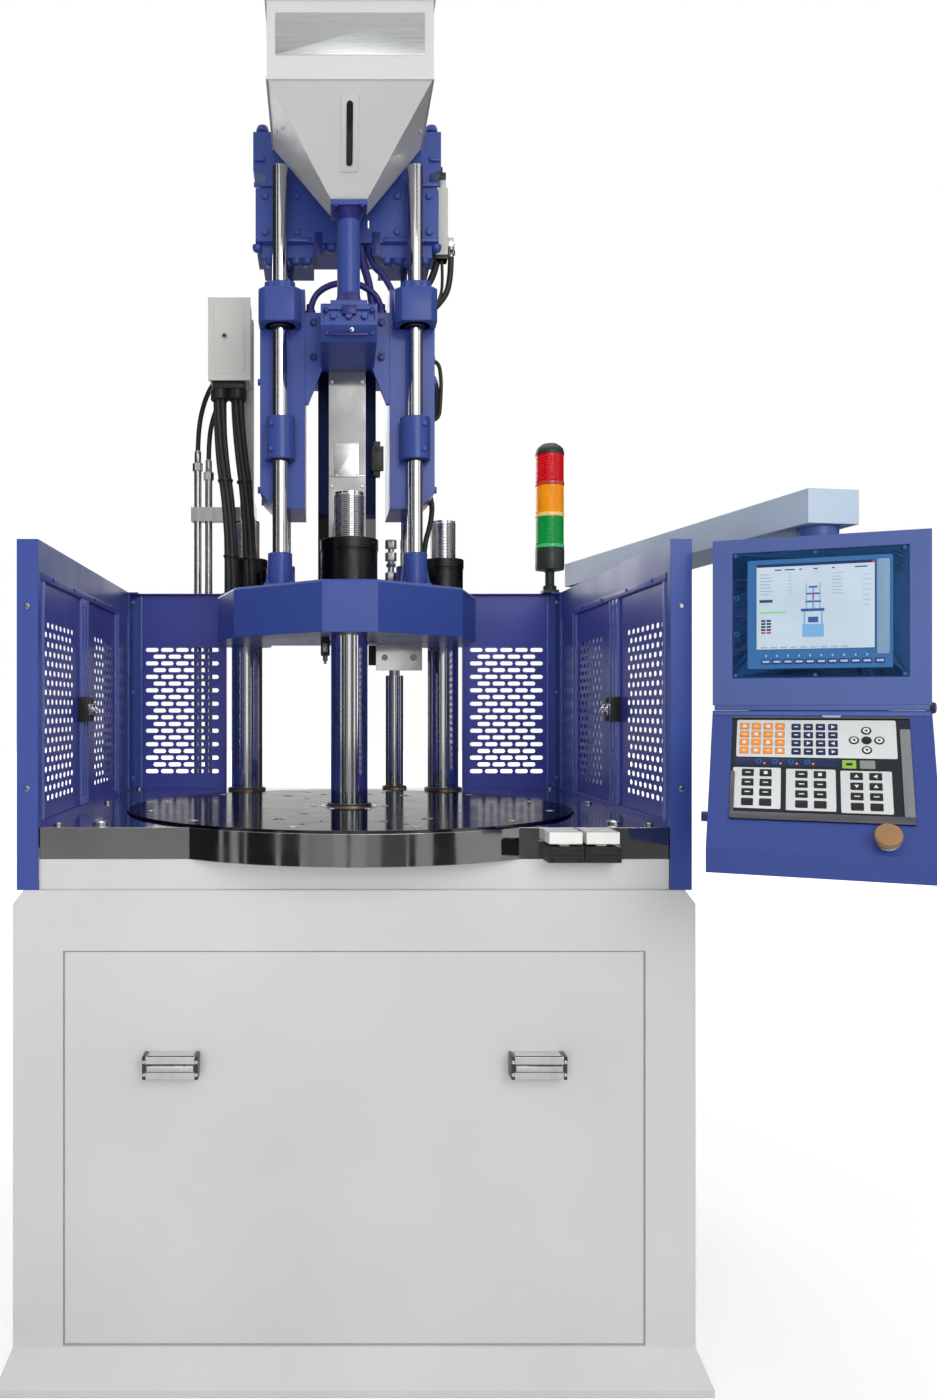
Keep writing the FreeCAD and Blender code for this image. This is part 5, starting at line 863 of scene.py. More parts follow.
def sensor_details():
    """Connector, plug and lower end plate of the stroke sensor."""
    black, steel = Shape(), Shape()
    black.box(233, 258, 306, 334, 2674, 2692, 3.0)
    black.box(236, 250, 309, 331, 2690, 2708, 4.0)
    black.box(229.4, 262.6, 299.4, 340.6, 2467, 2476, 1.5)
    black.done("sensor_connector", "inject", [BLACK_PLASTIC], "start_black")
    plug = hanging(272, 320, 2504)
    steel.box(262, 278, 308, 332, 2500, 2524, 2.0)
    steel.lathe([(0, 0), (9, 0), (9, 18), (7, 20), (7, 30), (0, 30)], plug, 24)
    steel.hexagon(11, 10, 22, plug, 1)
    steel.pin(4, 0, 6, place(262, 320, 2512) @ SIDEWAYS @ place(0, 0, 14), 16)
    steel.done("sensor_fitting", "inject", [BARE_STEEL, BLACK_STEEL], "machined_steel")


# ---------------------------------------------------------------- hoses and cables
BUNDLES = (   # route, and the middle of its upper band
    (((-337, 406, 2176), (-337, 406, 2010), (-302, 350, 1800), (-302, 350, 1592)), (-320, 379)),
    (((-290, 406, 2176), (-290, 406, 2070), (-256, 392, 1800), (-256, 392, 1592)), (-271, 399)))
# distance and angle of each cable in its bundle, and its radius
STRANDS = ((0, 0, 9.0), (11, 20, 7.5), (11, 92, 7.5), (11, 164, 7.5), (11, 236, 7.5), (11, 308, 7.5))
OIL_HOSES = (((-421, 615, 2008), (-421, 615, 2085), (-408, 602, 2160), (-380, 565, 2212), (-352, 525, 2222),
              (-352, 470, 2222)),
             ((-390, 615, 1982), (-390, 615, 2060), (-380, 604, 2125), (-352, 570, 2180), (-328, 530, 2195),
              (-328, 470, 2195)))
BRIDGE = ((-92, 225, 2287), (-92, 225, 2328), (-54, 225, 2366), (12, 225, 2377), (64, 225, 2352),
          (86, 225, 2318), (86, 225, 2287))
LOOP = ((217, 310, 2205), (239, 310, 2205), (246, 310, 2155), (244, 310, 2100), (240, 310, 2050),
        (217, 310, 2050))
THICK_LOOP = ((217, 335, 2175), (230, 335, 2170), (238, 335, 2120), (234, 335, 2070), (217, 335, 2062))
TO_CARRIAGE = ("inject", "carriage")
HANGING_HOSES = (   # name, route, radius, look, slot and the two bodies that hold its ends
    ("drop_hose_left", ((34, 240, 2473), (38, 238, 2430), (58, 234, 2370), (68, 232, 2287)), 10.0,
     HOSE_SHADED_BLUE, "blue_paint", TO_CARRIAGE),
    ("drop_hose_right", ((52, 245, 2473), (60, 242, 2425), (98, 236, 2392), (118, 234, 2345)), 8.0,
     HOSE_SHADED_BLUE, "blue_paint", TO_CARRIAGE),
    ("sensor_lead", ((272, 320, 2476), (271, 320, 2420), (256, 322, 2368), (217, 324, 2334)), 8.0,
     RUBBER, "cable_black", TO_CARRIAGE),
    ("sensor_lead_thin", ((248, 318, 2468), (250, 316, 2420), (246, 314, 2370), (217, 312, 2310)), 4.0,
     RUBBER, "cable_black", TO_CARRIAGE),
    ("block_lead", ((236, 330, 2468), (226, 332, 2425), (198, 336, 2395), (186, 338, 2345)), 9.0,
     RUBBER, "cable_black", TO_CARRIAGE),
    ("platen_lead",
     ((217, 360, 1872), (229, 362, 1850), (224, 366, 1790), (205, 372, 1730), (200, 376, 1592)), 7.0,
     RUBBER, "cable_black", ("carriage", "clamp")))


def bundles():
    """Black cables in two loose bundles from the junction box to the platen, with their glands."""
    glands = Shape()
    glands.box(-356, -268, 384, 430, 2156, 2176.5, 3.0)
    for k, (route, band) in enumerate(BUNDLES):
        for n, (reach, angle, r) in enumerate(STRANDS):
            points = []
            for m, (x, y, z) in enumerate(route):
                a = math.radians(angle + 26 * m)
                points.append((x + reach * math.cos(a), y + reach * math.sin(a), z))
            hose("bundle_%d_%d" % (k, n), points, r, RUBBER, "clamp",
                 ("cable_bundle",) if k == n == 0 else ())
        top, foot = (place(*point[:2]) for point in (route[0], route[-1]))
        glands.ring(18, 25, 2128, 2158, top, 40, edge=3)
        glands.ring(18, 27, PLATEN_TOP, PLATEN_TOP + 14, foot, 40, edge=3)
        for z, where in ((1700, foot), (1905, place(*band))):
            glands.ring(18.5, 20.5, z, z + 7, where, 40, edge=0.8)
    glands.done("cable_glands", "clamp", [BLACK_PLASTIC], "cable_black")


def hoses():
    """Oil hoses, the blue pressure hoses and the black leads beside the right block."""
    crimps, ends = Shape(), Shape()
    for k, route in enumerate(OIL_HOSES):
        hose("oil_hose_%d" % k, route, 7.0, RUBBER, "clamp")
        foot = place(*route[0])
        crimps.lathe([(0, 0), (9, 0), (10, 4), (10, 30), (8.5, 36), (0, 36)], foot, 24)
        crimps.hexagon(13, -22, -2, foot, bevel=1.5)
        crimps.head(10, 26, 8.5, 30, place(*route[-1], (-90, 0, 0)), 24)
    crimps.done("hose_crimps", "clamp", [PIPE_STEEL], "machined_steel")
    hose("bridge_hose", BRIDGE, 8.0, HOSE_SHADED_BLUE, "carriage", ("injection_hoses",))
    hose("cable_loop", LOOP, 5.0, RUBBER, "carriage")
    hose("thick_loop", THICK_LOOP, 8.0, RUBBER, "carriage")
    for x in (-92, 86):
        ends.hexagon(13, 0, 16, place(x, 225, 2287), bevel=1.2)
        ends.pin(10, 16, 30, place(x, 225, 2287), 24)
    ends.box(216, 229, 300, 320, 2196, 2214, 2.0)
    ends.box(216, 227, 302, 318, 2043, 2057, 2.0)
    ends.done("hose_ends", "carriage", [SHADED_COPY_BLUE], "blue_paint")
    for name, route, r, look, slot, bodies in HANGING_HOSES:
        hose(name, route, r, look, bodies + (mm(*route[0]), mm(*route[-1])))


def junction_details():
    """Lid seam, lock and hinges of the junction box."""
    shape = Shape()
    lock = facing(-322, 369, 2290)
    shape.prism(rounded(-350, -268, 2192, 2377, 4), 0, 1.2, 0.6, facing(0, 370, 0))
    shape.ring(5, 9, 0, 2.5, lock, 24, 1, edge=0.6)
    shape.pin(5, 0, 1.6, lock, 20, 2)
    for z in (2210, 2355):
        shape.pin(3.5, 0, 24, place(-257, 374, z - 12), 16, 1)
    shape.done("junction_lid", "clamp", [BEIGE, BARE_STEEL, BLACK_PLASTIC], "box_beige")


# ---------------------------------------------------------------- guard edges
def leaf_folds():
    """Folded seams at the leaves' meeting edges, the stops behind their gaps and the corners' folds; the
    seams and corner folds are in a lighter blue, a painted highlight.
    """
    stops, corner = Shape(), Shape()
    for side, side_name in SIDES:
        for place_name, spans in (("front", ((-49, -31), (-379, -369))),
                                  ("rear", ((-19, -3), (12, 22), (350, 360)))):
            fold = Shape()
            for span in spans:
                fold.box(*mirrored(side, 603, 610.5), *span, 1086, 1552, 2.4, segments=3)
            for z in (1100, 1538):
                fold.head(4, 1.5, 2.5, 3, inward(side, 603, spans[0][0] + 8, z), 14)
            name = "%s_%s" % (place_name, side_name)
            fold.done("leaf_fold_" + name, "leaf_" + name, [HIGHLIGHT_COPY_BLUE], "blue_paint")
        for span in ((1552.5, 1568), (1070, 1085.5)):
            stops.box(*mirrored(side, 604, 609.6), -386, 372, *span, 1.6, segments=3)
        for y in (-300, -120, 90, 280):
            stops.head(4, 1.2, 2.5, 2.6, inward(side, 604, y, 1563), 14)
        for span in ((372, 384), (520, 531)):
            corner.box(*mirrored(side, 602, 606.5), *span, 1078, 1556, 1.8, segments=3)
        corner.box(*mirrored(side, 575, 581), 580, 587, 1078, 1626, 2.0)
        for z in (1110, 1350, 1600):
            corner.head(5, 1.5, 3, 3, facing(side * 592, 532, z), 16)
    stops.done("leaf_stops", "base", [GUARD_SHADE_TINT_BLUE], "blue_paint")
    corner.done("corner_folds", "base", [HIGHLIGHT_COPY_BLUE], "blue_paint")


# ---------------------------------------------------------------- table and bed
TABLE_TOP = 1080
BED_TOP = 1075


def table_details():
    """Mould bolts, dowels and ring marks of the rotary table, and bolts on the bed."""
    bolts, bed, wipers = Shape(), Shape(), Shape()
    for k in range(2):
        base = spoke(0, 0, TABLE_TOP, 180 * k, 0)
        for x in (-60, 60):
            bolts.ring(7.2, 10.0, 0, 0.6, base @ place(x, -330), 24, edge=0.25)
        for x in (-150, 150):
            bolts.ring(10, 13, 0, 0.8, base @ place(x, -288), 28, edge=0.3)
            # The near-black disc inside each of these rings is painted shade standing in for a hole.
            bolts.pin(10, 0, 0.5, base @ place(x, -288), 24, 1)
    for k in range(12):
        where = spoke(0, 0, TABLE_TOP, 15 + 30 * k, 452)
        bolts.ring(9.0, 11.0, 0, 0.5, where, 24, edge=0.2)
        bolts.cap_screw(8.0, 0.9, where)
    for k in range(6):
        bolts.cap_screw(7.5, 1.2, spoke(0, 0, TABLE_TOP, 60 * k, 82))
    bolts.ring(58, 64, 0, 0.8, place(0, 0, TABLE_TOP), 64, edge=0.3)
    bolts.done("table_bolts", "table", [BARE_STEEL, HOLE_SHADE_BLACK], "table_steel")
    spots = [(side * 580, y) for side in BOTH for y in (-360, 120, 560)]
    for x, y in spots + [(x, 605) for x in (-560, -300, 300, 560)]:
        bed.cap_screw(9, 5, place(x, y, BED_TOP))
    for x, y in ((-500, -340), (520, -330)):
        bed.head(16, 4, 12, 7, place(x, y, BED_TOP), 32)
    bed.done("bed_bolts", "base", [BARE_STEEL], "polished_steel")
    for x, y in (FRONT_COLUMN,) + REAR_COLUMNS:
        wipers.ring(42.8, 51, 1083, 1087, place(x, y), 64, edge=1.2)
    wipers.ring(25.3, 34, 1083, 1087, place(140, 548), 48, edge=1.0)
    wipers.done("column_wipers", "base", [RUBBER], "bronze")


# ---------------------------------------------------------------- cabinet
def cabinet_details():
    """Rear service panel and side panels of the cabinet, and the ends of the cover's handles."""
    ends, back, panels = Shape(), Shape(), Shape()
    for side in BOTH:
        x = side * 349
        for end in BOTH:
            ends.box(*sorted((x + end * 46, x + end * 53)), -440, -404.5, 602, 646, 1.5)
            for z in (636, 612):
                ends.cap_screw(3.2, 1.5, facing(x + end * 49.5, -440, z), 1)
        ends.box(x - 46, x + 46, -437, -404.5, 640, 645, 1.0, mat=1)
        ends.box(x - 46, x + 46, -441, -436, 616, 632, 2.0, mat=1)
    ends.done("handle_ends", "cover", [DARK_STEEL, CHROME], "chrome_plate")
    where = place(0, 650, 0, (90, 0, 180))
    back.prism(rounded(-520, 520, 130, 820, 8), 0, 2.2, 0.8, where)
    for x, z in product((-505, -170, 170, 505), (145, 475, 805)):
        back.head(6, 3, 4, 5, where @ place(x, z), 18, 1, z0=2)
    for side in BOTH:
        x = side * 330
        for z in range(620, 782, 18):
            back.prism([(x - 90, z), (x + 90, z), (x + 84, z + 9), (x - 84, z + 9)], 2.0, 7.0, 1.6, where)
    back.done("service_panel", "base", [GREY, BARE_STEEL], "grey_paint")
    for side in BOTH:
        where = place(side * 654, 0, 0, (90, 0, 90 * side))
        panels.prism(rounded(-300, 420 if side > 0 else 300, 150, 800, 8), 0, 1.8, 0.7, where)
        for x, z in product((-285, 285), (165, 785)):
            panels.head(6, 2.8, 4, 4.6, where @ place(x, z), 18, 1, z0=1.6)
    panels.done("side_panels", "base", [GREY, BARE_STEEL], "grey_paint")


def start_box_details():
    """Screws and seams of the two start boxes."""
    shape = Shape()
    for x0 in (363, 433):
        for x, z in product((x0 + 7, x0 + 61), (1020, 1038)):
            shape.pin(2.6, 0, 0.8, facing(x, -452, z), 14, tip=1.4)
        shape.box(x0 + 2, x0 + 66, -453, -451.5, 1027.5, 1029, 0.4)
    shape.done("start_box_screws", "base", [BLACK_STEEL], "start_black")


# ---------------------------------------------------------------- light tower
TOWER_X, TOWER_Y = 580.0, 562.0
LENSES = (   # from the lowest up: name, look of the lens and of the clear ring under it
    ("green", LENS_GREEN, RING_GREEN), ("amber", LENS_AMBER, RING_AMBER), ("red", LENS_RED, RING_RED))


def light_tower():
    """Three ribbed lenses with clear rings, the dark foot and the domed cap."""
    where, foot = place(TOWER_X, TOWER_Y), Shape()
    for k, (name, look, clear) in enumerate(LENSES):
        z0 = 1755 + 88 * k
        profile = [(30, z0), (38.5, z0)]
        for n in range(12):
            z = z0 + 13 + n * 5.6
            profile += [(38.2, z), (39.0, z + 1.4), (39.0, z + 4.2), (38.2, z + 5.6)]
        profile += [(39.0, z0 + 82), (38.0, z0 + 87.8), (30, z0 + 87.8)]
        glass, ring = Shape(), Shape()
        glass.lathe(profile, where, 64)
        glass.done("lens_" + name, "base", [look], "lens", ("tower_lenses",) if k == 0 else ())
        ring.ring(38.4, 40.4, z0 + 0.5, z0 + 11, where, 64, edge=1.5)
        ring.done("lens_ring_" + name, "base", [clear], "lens")
    foot.lathe([(13, 1688), (20, 1692), (36, 1694), (40.5, 1700), (40.5, 1750), (39, 1755), (13, 1755)],
               where, 64)
    for z in (1706, 1744):
        foot.ring(40.0, 41.2, z, z + 2, where, 64, edge=0.5)
    foot.lathe([(40.3, 2018.5), (40.3, 2024), (37, 2036), (29, 2044), (16, 2048.5), (0, 2049)], where, 64)
    foot.box(560, 600, 542, 582, 1629, 1634, 1.5)
    foot.ring(13.2, 19, 1633, 1650, where, 40, edge=2)
    for dx in (-15, 15):
        foot.cap_screw(3.5, 3, place(TOWER_X + dx, TOWER_Y - 15, 1634))
    foot.done("tower_foot", "base", [TOWER_BLACK], "start_black")


# ---------------------------------------------------------------- control box
BOX = place(822, -555, 0, (0, 0, -24))
SCREEN = BOX @ place(0, 0, 0, (90, 0, 0))
PICTURE_SHARE = 0.915   # the picture's shapes are drawn wider than the panel and squeezed by this
KEY_SIZE, WIDE_KEY_SIZE = (15, 13.4), (19.5, 14.5)
SLOPE = math.radians(35)
KEYPAD = BOX @ Matrix(((1, 0, 0, 0), (0, math.sin(SLOPE), -math.cos(SLOPE), 0),
                       (0, math.cos(SLOPE), math.sin(SLOPE), 1.3), (0, 0, 0, 1)))


def screen_details():
    """Bezel, inner frame, lit panel with plain shapes, soft keys and screws of the screen."""
    bezel, glass, body = Shape(), Shape(), Shape()
    window = rounded(-103, 91, 1410, 1565, 1)
    bezel.holed_sheet(rounded(-143.5, 143.5, 1358.5, 1588.5, 4), [window], -3.0, -1.5, SCREEN, 0)
    bezel.holed_sheet(rounded(-117, 118, 1376, 1573, 3), [window], -1.7, -0.9, SCREEN, 1)
    for low in (1410, 1476):
        bezel.holed_sheet(rounded(-142, -117, low, low + 64, 2), [rounded(-140, -119, low + 2, low + 62, 1)],
                          -1.6, -0.6, SCREEN, 2)
        bezel.ring(3.0, 4.2, -1.6, -0.4, SCREEN @ place(-136, low + 30), 20, 1, edge=0.2)
    for x, z in product((-138, -5, 136), (1364, 1583)):
        bezel.head(3.6, -0.8, 2.4, 0.3, SCREEN @ place(x, z), 18, 3, z0=-1.6)
    for k in range(11):
        x = -86 + 18.2 * k + (2 if k == 10 else 0)
        bezel.prism(rounded(x - 7.8, x + 7.8, 1384, 1393, 2), -1.2, 0.2, 0.4, SCREEN, 2)
        bezel.prism(rounded(x - 6, x + 6, 1386.4, 1390.6, 1), 0.0, 0.5, 0.2, SCREEN, 4)
        if k < 10:
            bezel.prism(rounded(x - 1.5, x + 1.5, 1397, 1401, 0.5), -1.0, -0.6, 0.1, SCREEN, 4)
    bezel.prism(rounded(93, 113, 1400, 1566, 3), -1.0, -0.5, 0.2, SCREEN, 5)
    bezel.done("screen_frame", "screen",
               [BEZEL_BLUE, PANEL_BLUE, SHADED_COPY_BLUE, BEZEL_SCREW, PALE_MARK, PANEL_PALE], "screen_blue")
    glass.box(-102.5, 90.5, 1410, 1565, -2.9, -2.4, 0.0, SCREEN)
    marks = [(-111, 98, 1560, 5, 1), (-106, -82, 1496, 5, 4), (-106, -56, 1476, 3, 5), (-28, 10, 1432, 23, 6),
             (-31, 11, 1478, 5, 7), (-18, 0, 1458, 10, 7), (-11, -7, 1483, 37, 6)]
    marks += [(x, x + length, 1553, 2, 1)
              for x, length in ((-78, 12), (-60, 18), (-34, 5), (-8, 7), (24, 5), (64, 22))]
    for row in range(7):
        z = 1546 - row * 6
        marks += [(-106, -88 + 3 * (row % 3), z, 1.6, 3), (-54, -47, z, 1.2, 3),
                  (24, 44 - 4 * (row % 2), z - 2, 1.4, 3), (78, 90 + 3 * (row % 2), 1540 - row * 9, 1.2, 3)]
    marks += [(x, x + 8, 1461 - row * 5.4, 3.5, 1 if row < 4 else 2) for row in range(5) for x in (-103, -93)]
    marks += [(x, x + 12, 1413, 2.5, 3) for x in range(-104, 41, 18)]
    marks += [(x, x + 3, 1455, 23, 6) for x in (-26, 5)] + [(x, x + 2, 1483, 45, 6) for x in (-22, 2)]
    marks += [(-9 - half, -9 + half, z, 3, 7) for z, half in ((1494, 14), (1508, 12), (1520, 8))]
    for x0, x1, z, height, mat in marks:
        glass.box(x0 * PICTURE_SHARE, x1 * PICTURE_SHARE, z, z + height, -2.5, -2.2, 0.0, SCREEN, mat)
    for x0, x1, z, height in ((93, 98, 1560, 4.5), (-10, -8, 1500, 12)):
        glass.box(x0 * PICTURE_SHARE, x1 * PICTURE_SHARE, z, z + height, -2.5, -2.1, 0.0, SCREEN, 2)
    glass.done("screen_picture", "screen", [SCREEN_PALE] + INKS, "screen_blue")
    for side, z in product(BOTH, (1330, 1585)):
        body.head(5, 0.8, 3, 2, BOX @ outward(side, 177, 60, z), 18)
    body.box(-174, 174, 0.5, 3.5, 1300.6, 1310.5, 1.0, BOX)
    for z in range(1400, 1498, 14):
        body.box(-60, 60, 109, 112.5, z, z + 7, 1.5, BOX)
    for x, z in product((-150, 150), (1340, 1575)):
        body.cap_screw(4, 2.5, BOX @ place(x, 110, z, (-90, 0, 0)))
    body.done("screen_screws", "screen", [BOX_BLUE], "light_blue_paint")


def arrow(way, x, y, tip, back):
    """The corners of a triangle that points one way."""
    return {"up": [(x - tip, y - back), (x + tip, y - back), (x, y + tip)],
            "down": [(x - tip, y + back), (x, y - tip), (x + tip, y + back)],
            "left": [(x + back, y - tip), (x + back, y + tip), (x - tip, y)],
            "right": [(x - back, y - tip), (x + tip, y), (x - back, y + tip)]}[way]


def key(shape, x, d, w, h, mat, icon=None):
    """One rounded key on the keypad, with a plain shape on it."""
    y = -d
    shape.prism(rounded(x - w / 2, x + w / 2, y - h / 2, y + h / 2, 1.6), -0.9, 0.5, 0.35, KEYPAD, mat)
    if icon in ("bar", "square"):
        across, along = (w * 0.22, 1) if icon == "bar" else (3, 3)
        shape.prism(rounded(x - across, x + across, y - along, y + along, 0.4), 0.4, 0.75, 0.0, KEYPAD, 5)
    elif icon:
        shape.prism(arrow(icon, x, y, 3.6, 2.5), 0.4, 0.75, 0.0, KEYPAD, 5)


def keypad_details():
    """Label, keys, ledge, hinge strip and stop button of the keypad."""
    pad, ledge, strip, button, collar, knob = (Shape() for _ in range(6))
    pad.prism(rounded(-141.5, 141.5, -226, -15, 3), -1.2, -0.9, 0.0, KEYPAD, 0)
    pad.prism(rounded(-134, 121, -99, -20, 3), -1.0, -0.5, 0.15, KEYPAD, 1)
    for row, col in product(range(4), range(4)):
        icon = ("square", "bar")[(row + col) % 2]
        key(pad, -121 + 19.6 * col, 34 + 17.2 * row, *KEY_SIZE, 2, icon)
        icon = ("bar", "bar", "bar", "right", "bar", "left")[(row * 4 + col) % 6]
        key(pad, -36 + 19.6 * col, 35 + 17.2 * row, *KEY_SIZE, 3, icon)
    for x, y, icon in ((75, -42, "up"), (75, -82, "down"), (55.5, -62, "left"), (94.5, -62, "right"),
                       (75, -62, None)):
        where = KEYPAD @ place(x, y)
        pad.head(8.0, 0.3, 7.2, 0.6, where, 28, 4, z0=-0.8)
        if icon:
            pad.pin(5.4, 0.5, 0.8, where, 28, 5)
            pad.prism(arrow(icon, x, y, 3.2, 2), 0.7, 1.0, 0.0, KEYPAD, 4)
    pad.prism(rounded(-135, 32, -117, -101, 1), -1.0, -0.6, 0.1, KEYPAD, 3)
    for x in (-96, -70, -44, -18):
        pad.pin(2.0, -0.7, 0.0, KEYPAD @ place(x + 9, -112), 14, 2, tip=0.2)
        pad.ring(2.6, 5.0, -0.7, -0.2, KEYPAD @ place(x, -108), 20, 6, edge=0.2)
    pad.prism(rounded(36, 58, -120, -103, 1.5), -1.0, 0.2, 0.3, KEYPAD, 7)
    pad.prism(rounded(42, 52, -114, -109, 1.0), 0.1, 0.5, 0.1, KEYPAD, 4)
    pad.prism(rounded(63, 87, -120, -103, 1.5), -1.0, 0.2, 0.3, KEYPAD, 8)
    plain = (("bar", "square"), ("bar", "bar"), ("bar", "bar"), (None, None))
    moves = (("up", "left"), ("down", "up"), ("bar", "bar"), (None, None))
    for block, (x, icons) in enumerate(((-99, plain), (-13, plain), (72, moves))):
        shift = 1.5 * block
        pad.prism(rounded(x - 39, x + 39, -204 - shift, -121 - shift, 2.5), -1.0, -0.4, 0.2, KEYPAD, 1)
        for row, col in product(range(4), range(2)):
            key(pad, x - 14.5 + 29 * col, 132 + 19.8 * row + shift, *WIDE_KEY_SIZE, 4, icons[row][col])
    pad.done("keypad_keys", "keypad",
             [FIELD_BLACK, LABEL_PALE, KEY_ORANGE, KEY_NAVY, KEY_BLACK, KEY_MARK, INKS[-1], KEY_GREEN,
              KEY_GREY], "keypad_film")
    for x0, x1, y0, y1, r, top, bevel, mat in ((-142, 142, -227, -213, 2, 4.0, 1.2, 0),
                                               (126, 142, -227, -40, 2, 2.5, 1.0, 1),
                                               (-142, -135, -227, -130, 2, 1.5, 0.8, 0),
                                               (-142, 142, -17, -13, 1, 1.0, 0.6, 0)):
        ledge.prism(rounded(x0, x1, y0, y1, r), -2.5, top, bevel, KEYPAD, mat)
    for x in (-60, -20, 30):
        ledge.head(2.5, 4.2, 1.5, 4.8, KEYPAD @ place(x, -220), 14, z0=3.5)
    ledge.done("keypad_ledge", "keypad", [DARK_STEEL, LEDGE_GREY], "keypad_film")
    strip.prism([(-174, -11), (174, -11), (174, -3), (-174, -3)], -1.0, 1.6, 0.8, KEYPAD, 0)
    strip.prism(rounded(6, 36, -15.5, -11.5, 1), 0.0, 2.4, 0.6, KEYPAD, 1)
    for x in (-165, -55, 55, 165):
        strip.pin(3.2, 1, 1.8, KEYPAD @ place(x, -7), 16, tip=2.6)
    strip.done("keypad_hinge_strip", "keypad", [BOX_BLUE, PALE_MARK], "blue_paint")
    where = KEYPAD @ place(100, -258)
    button.lathe([(0, 13.8), (17, 13.8), (20.6, 15), (21, 18), (21, 22), (19.8, 25), (16, 25.9), (0, 26)],
                 where, 48)
    button.ring(19.4, 21.3, 15.6, 18, where, 48, 1, edge=0.5)
    button.done("stop_head", "stop_button", [GOLD_PLASTIC, CHROME], "stop_gold", ("emergency_button",))
    collar.ring(8.6, 19, -0.5, 6, where, 40, edge=1.5)
    collar.ring(8.6, 16.6, 6, 8.4, where, 40, edge=0.8)
    collar.done("stop_collar", "keypad", [BARE_STEEL], "blue_paint")
    knob.lathe([(9.3, -15), (10.4, -14), (10.4, -4.5), (9.3, -3)], BOX @ outward(1, 194, 100, 1305), 32)
    knob.pin(6.5, 0, 0.5, BOX @ outward(1, 193, 100, 1305), 28, tip=0.6)
    knob.done("tilt_knob", "screen", [BLACK_PLASTIC], "light_blue_paint")


def arm_details():
    """Bolts of the arm's post."""
    post = Shape()
    for z, y in product((600, 880), (370, 470)):
        post.hexagon(11, 0, 9, outward(1, 656, y, z))
    post.done("arm_post_bolts", "base", [BARE_STEEL], "pale_arm_paint")


# ---------------------------------------------------------------- stage
WORLD_LIGHT = 0.45
OPAQUE = (1.0,)
FLOOR = 30.0        # half of the floor's side, in metres
CARD_RING = 5.2     # radius of the cards that the steel reflects
CARDS = (   # from and to in degrees round the machine, 0 in front and positive to the right; grey; top in m
    (-160, -62, 0.02, 6.0), (-60, -56, 0.02, 6.0), (-52, -49, 0.02, 6.0), (-48, -34, 0.02, 6.0),
    (-32, -23, 0.03, 6.0), (-23, -8, 0.3, 3.4), (-2.5, -1, 0.08, 6.0), (6, 12.5, 0.25, 3.4),
    (12.5, 24, 0.07, 6.0), (25, 28, 0.03, 6.0), (36, 47, 0.03, 6.0),
    (72, 98, 0.25, 6.0), (98, 162, 0.02, 6.0))
LAMPS = (   # name, place, aim, size in m and power in W
    ("key", (1.5, -4.4, 3.2), (0.0, 0.0, 1.3), 2.4, 80.0),
    ("fill", (-0.8, -4.8, 1.25), (0.0, 0.0, 1.2), 2.6, 80.0),
    ("top", (0.2, 0.6, 5.2), (0.0, 0.0, 1.0), 3.0, 50.0),
    ("back", (-1.5, 4.0, 3.2), (0.0, 0.0, 1.4), 2.4, 50.0))
CAMERA_SPOT = (-0.058, -2.455, 1.305)
FOCAL_LENGTH, SENSOR_WIDTH = 27.44, 36.0    # in mm
LENS_SHIFT = (0.1032, 0.0057)


def stage_mesh(name, verts, faces, look):
    """A piece of the studio, which isn't part of the machine."""
    mesh = bpy.data.meshes.new(name)
    mesh.from_pydata(verts, [], faces)
    mesh.materials.append(look.material)
    piece = bpy.data.objects.new(name, mesh)
    bpy.context.scene.collection.objects.link(piece)
    return piece


def surroundings(scene):
    """White to the eye, in mirrors and through glass, and dimmer as a light on everything else."""
    scene.world = bpy.data.worlds.new("studio")
    scene.world.use_nodes = True
    tree = scene.world.node_tree
    background = tree.nodes["Background"]
    background.inputs["Color"].default_value = EVEN + OPAQUE
    path = tree.nodes.new("ShaderNodeLightPath")
    seen = path.outputs["Is Camera Ray"]
    for ray in ("Is Glossy Ray", "Is Transmission Ray"):
        either = tree.nodes.new("ShaderNodeMath")
        either.operation = "MAXIMUM"
        tree.links.new(seen, either.inputs[0])
        tree.links.new(path.outputs[ray], either.inputs[1])
        seen = either.outputs[0]
    strength = tree.nodes.new("ShaderNodeMapRange")
    strength.inputs["To Min"].default_value = WORLD_LIGHT
    strength.inputs["To Max"].default_value = 1.0
    tree.links.new(seen, strength.inputs["Value"])
    tree.links.new(strength.outputs["Result"], background.inputs["Strength"])


def floor():
    """A pale floor that fades to white away from the machine."""
    look = Look("pale_floor", (0.55, 0.55, 0.55) + OPAQUE, 0.7)
    look.mottle(0.6, 0.98, 1.02).glow(EVEN + OPAQUE, 0.0)
    distance = look.node("VectorMath", "LENGTH", Vector=look.points())
    lift = look.node("Math", "MULTIPLY", Value=look.node("LightPath").outputs["Is Camera Ray"])
    look.link(look.span(distance.outputs["Value"], 1.5, 5.0, 0.56, 1.0), lift.inputs[1])
    look.set(look.shader, Emission_Strength=lift.outputs["Value"])
    corners = ((-FLOOR, -FLOOR, 0), (FLOOR, -FLOOR, 0), (FLOOR, FLOOR, 0), (-FLOOR, FLOOR, 0))
    stage_mesh("floor", corners, [(0, 1, 2, 3)], look)


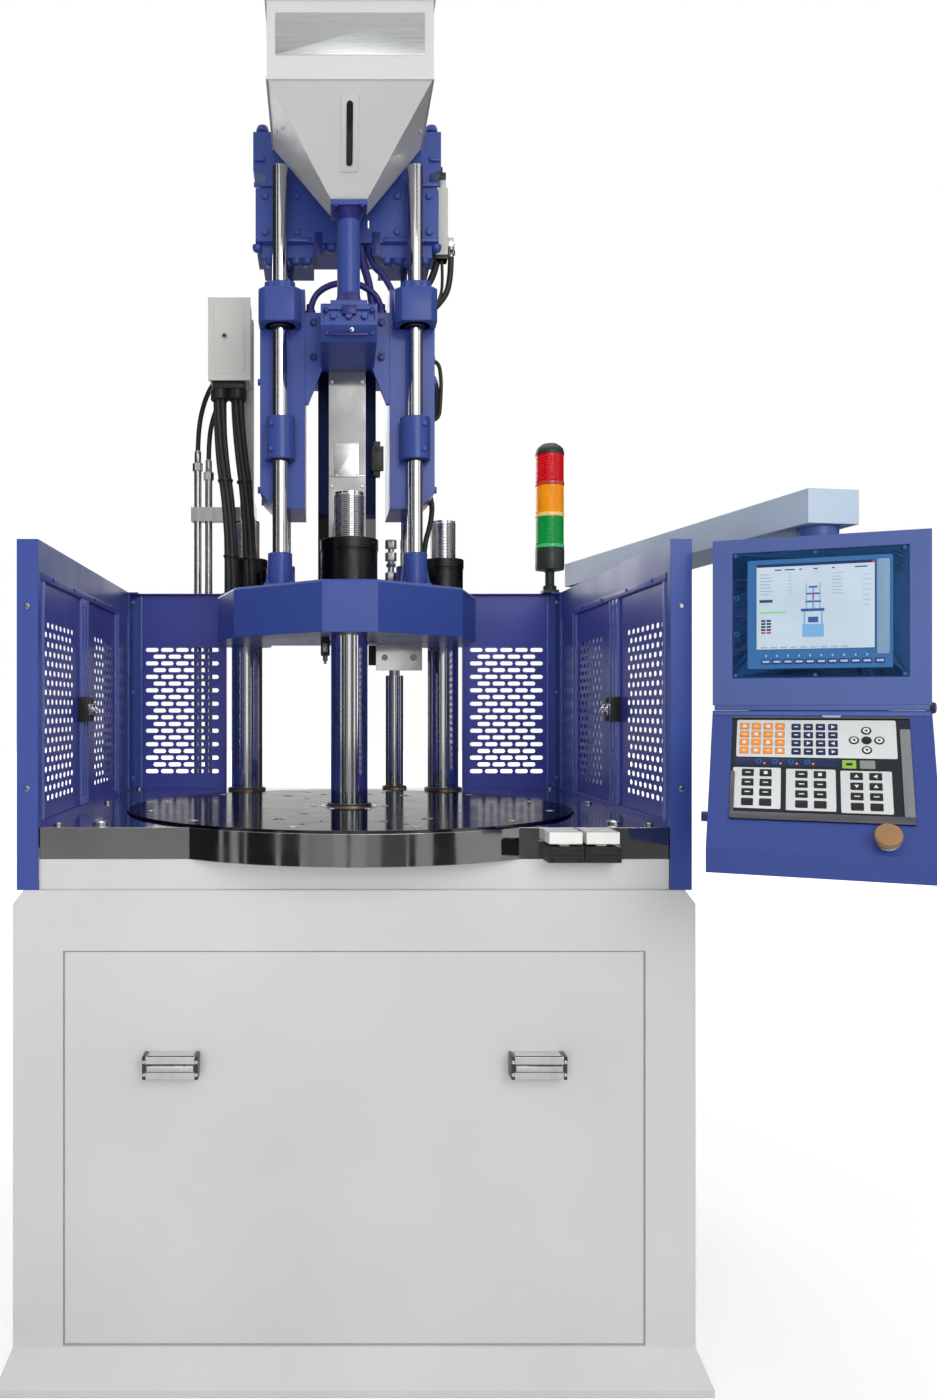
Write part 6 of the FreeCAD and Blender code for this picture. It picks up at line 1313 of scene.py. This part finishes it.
def cards():
    """Dark upright cards round the machine, seen in its steel alone."""
    for number, (low, high, grey, top) in enumerate(CARDS):
        steps = max(2, int((high - low) / 3) + 1)
        verts = []
        for k in range(steps + 1):
            angle = math.radians(low + (high - low) * k / steps)
            x, y = CARD_RING * math.sin(angle), -CARD_RING * math.cos(angle)
            verts += [(x, y, 0.02), (x, y, top)]
        name = "card_%02d" % number
        look = Look(name, (0.0, 0.0, 0.0) + OPAQUE, 1.0, Specular_IOR_Level=0.0)
        look.glow(look.ramp(look.noise(0.5, (1.0, 1.0, 0.4)), (0.25, (0.6 * grey,) * 3 + OPAQUE),
                            (0.75, (1.5 * grey,) * 3 + OPAQUE)), 1.0)
        card = stage_mesh(name, verts, [(k, k + 2, k + 3, k + 1) for k in range(0, 2 * steps, 2)], look)
        card.visible_camera = card.visible_diffuse = card.visible_shadow = card.visible_transmission = False


def build_stage():
    """Pale floor, white surroundings, soft lamps, dark cards for the steel, and the camera."""
    scene = bpy.context.scene
    scene.view_settings.view_transform = "Standard"
    surroundings(scene)
    floor()
    cards()
    for name, spot, aim, size, power in LAMPS:
        lamp = bpy.data.lights.new(name, "AREA")
        lamp.size, lamp.energy = size, power
        holder = bpy.data.objects.new(name, lamp)
        holder.location = spot
        holder.rotation_euler = (Vector(aim) - Vector(spot)).to_track_quat("-Z", "Y").to_euler()
        holder.visible_glossy = name != "fill"
        scene.collection.objects.link(holder)
    camera = bpy.data.cameras.new("camera")
    camera.lens, camera.sensor_width = FOCAL_LENGTH, SENSOR_WIDTH
    camera.shift_x, camera.shift_y = LENS_SHIFT
    scene.camera = bpy.data.objects.new("camera", camera)
    scene.camera.location = CAMERA_SPOT
    scene.camera.rotation_euler = (math.radians(90), 0.0, 0.0)
    scene.collection.objects.link(scene.camera)


dress_cad_nodes()
for side, side_name in SIDES:
    leaf("front", side, side_name)
    leaf("rear", side, side_name)
    rear_panel(side, side_name)
guard_screws()
column_ends()
boss_details()
platen_details()
bush_housings()
crosshead_details()
barrel_cover_details()
hopper_details()
thrust_details()
sensor_details()
bundles()
hoses()
junction_details()
leaf_folds()
table_details()
cabinet_details()
start_box_details()
light_tower()
screen_details()
keypad_details()
arm_details()
build_stage()
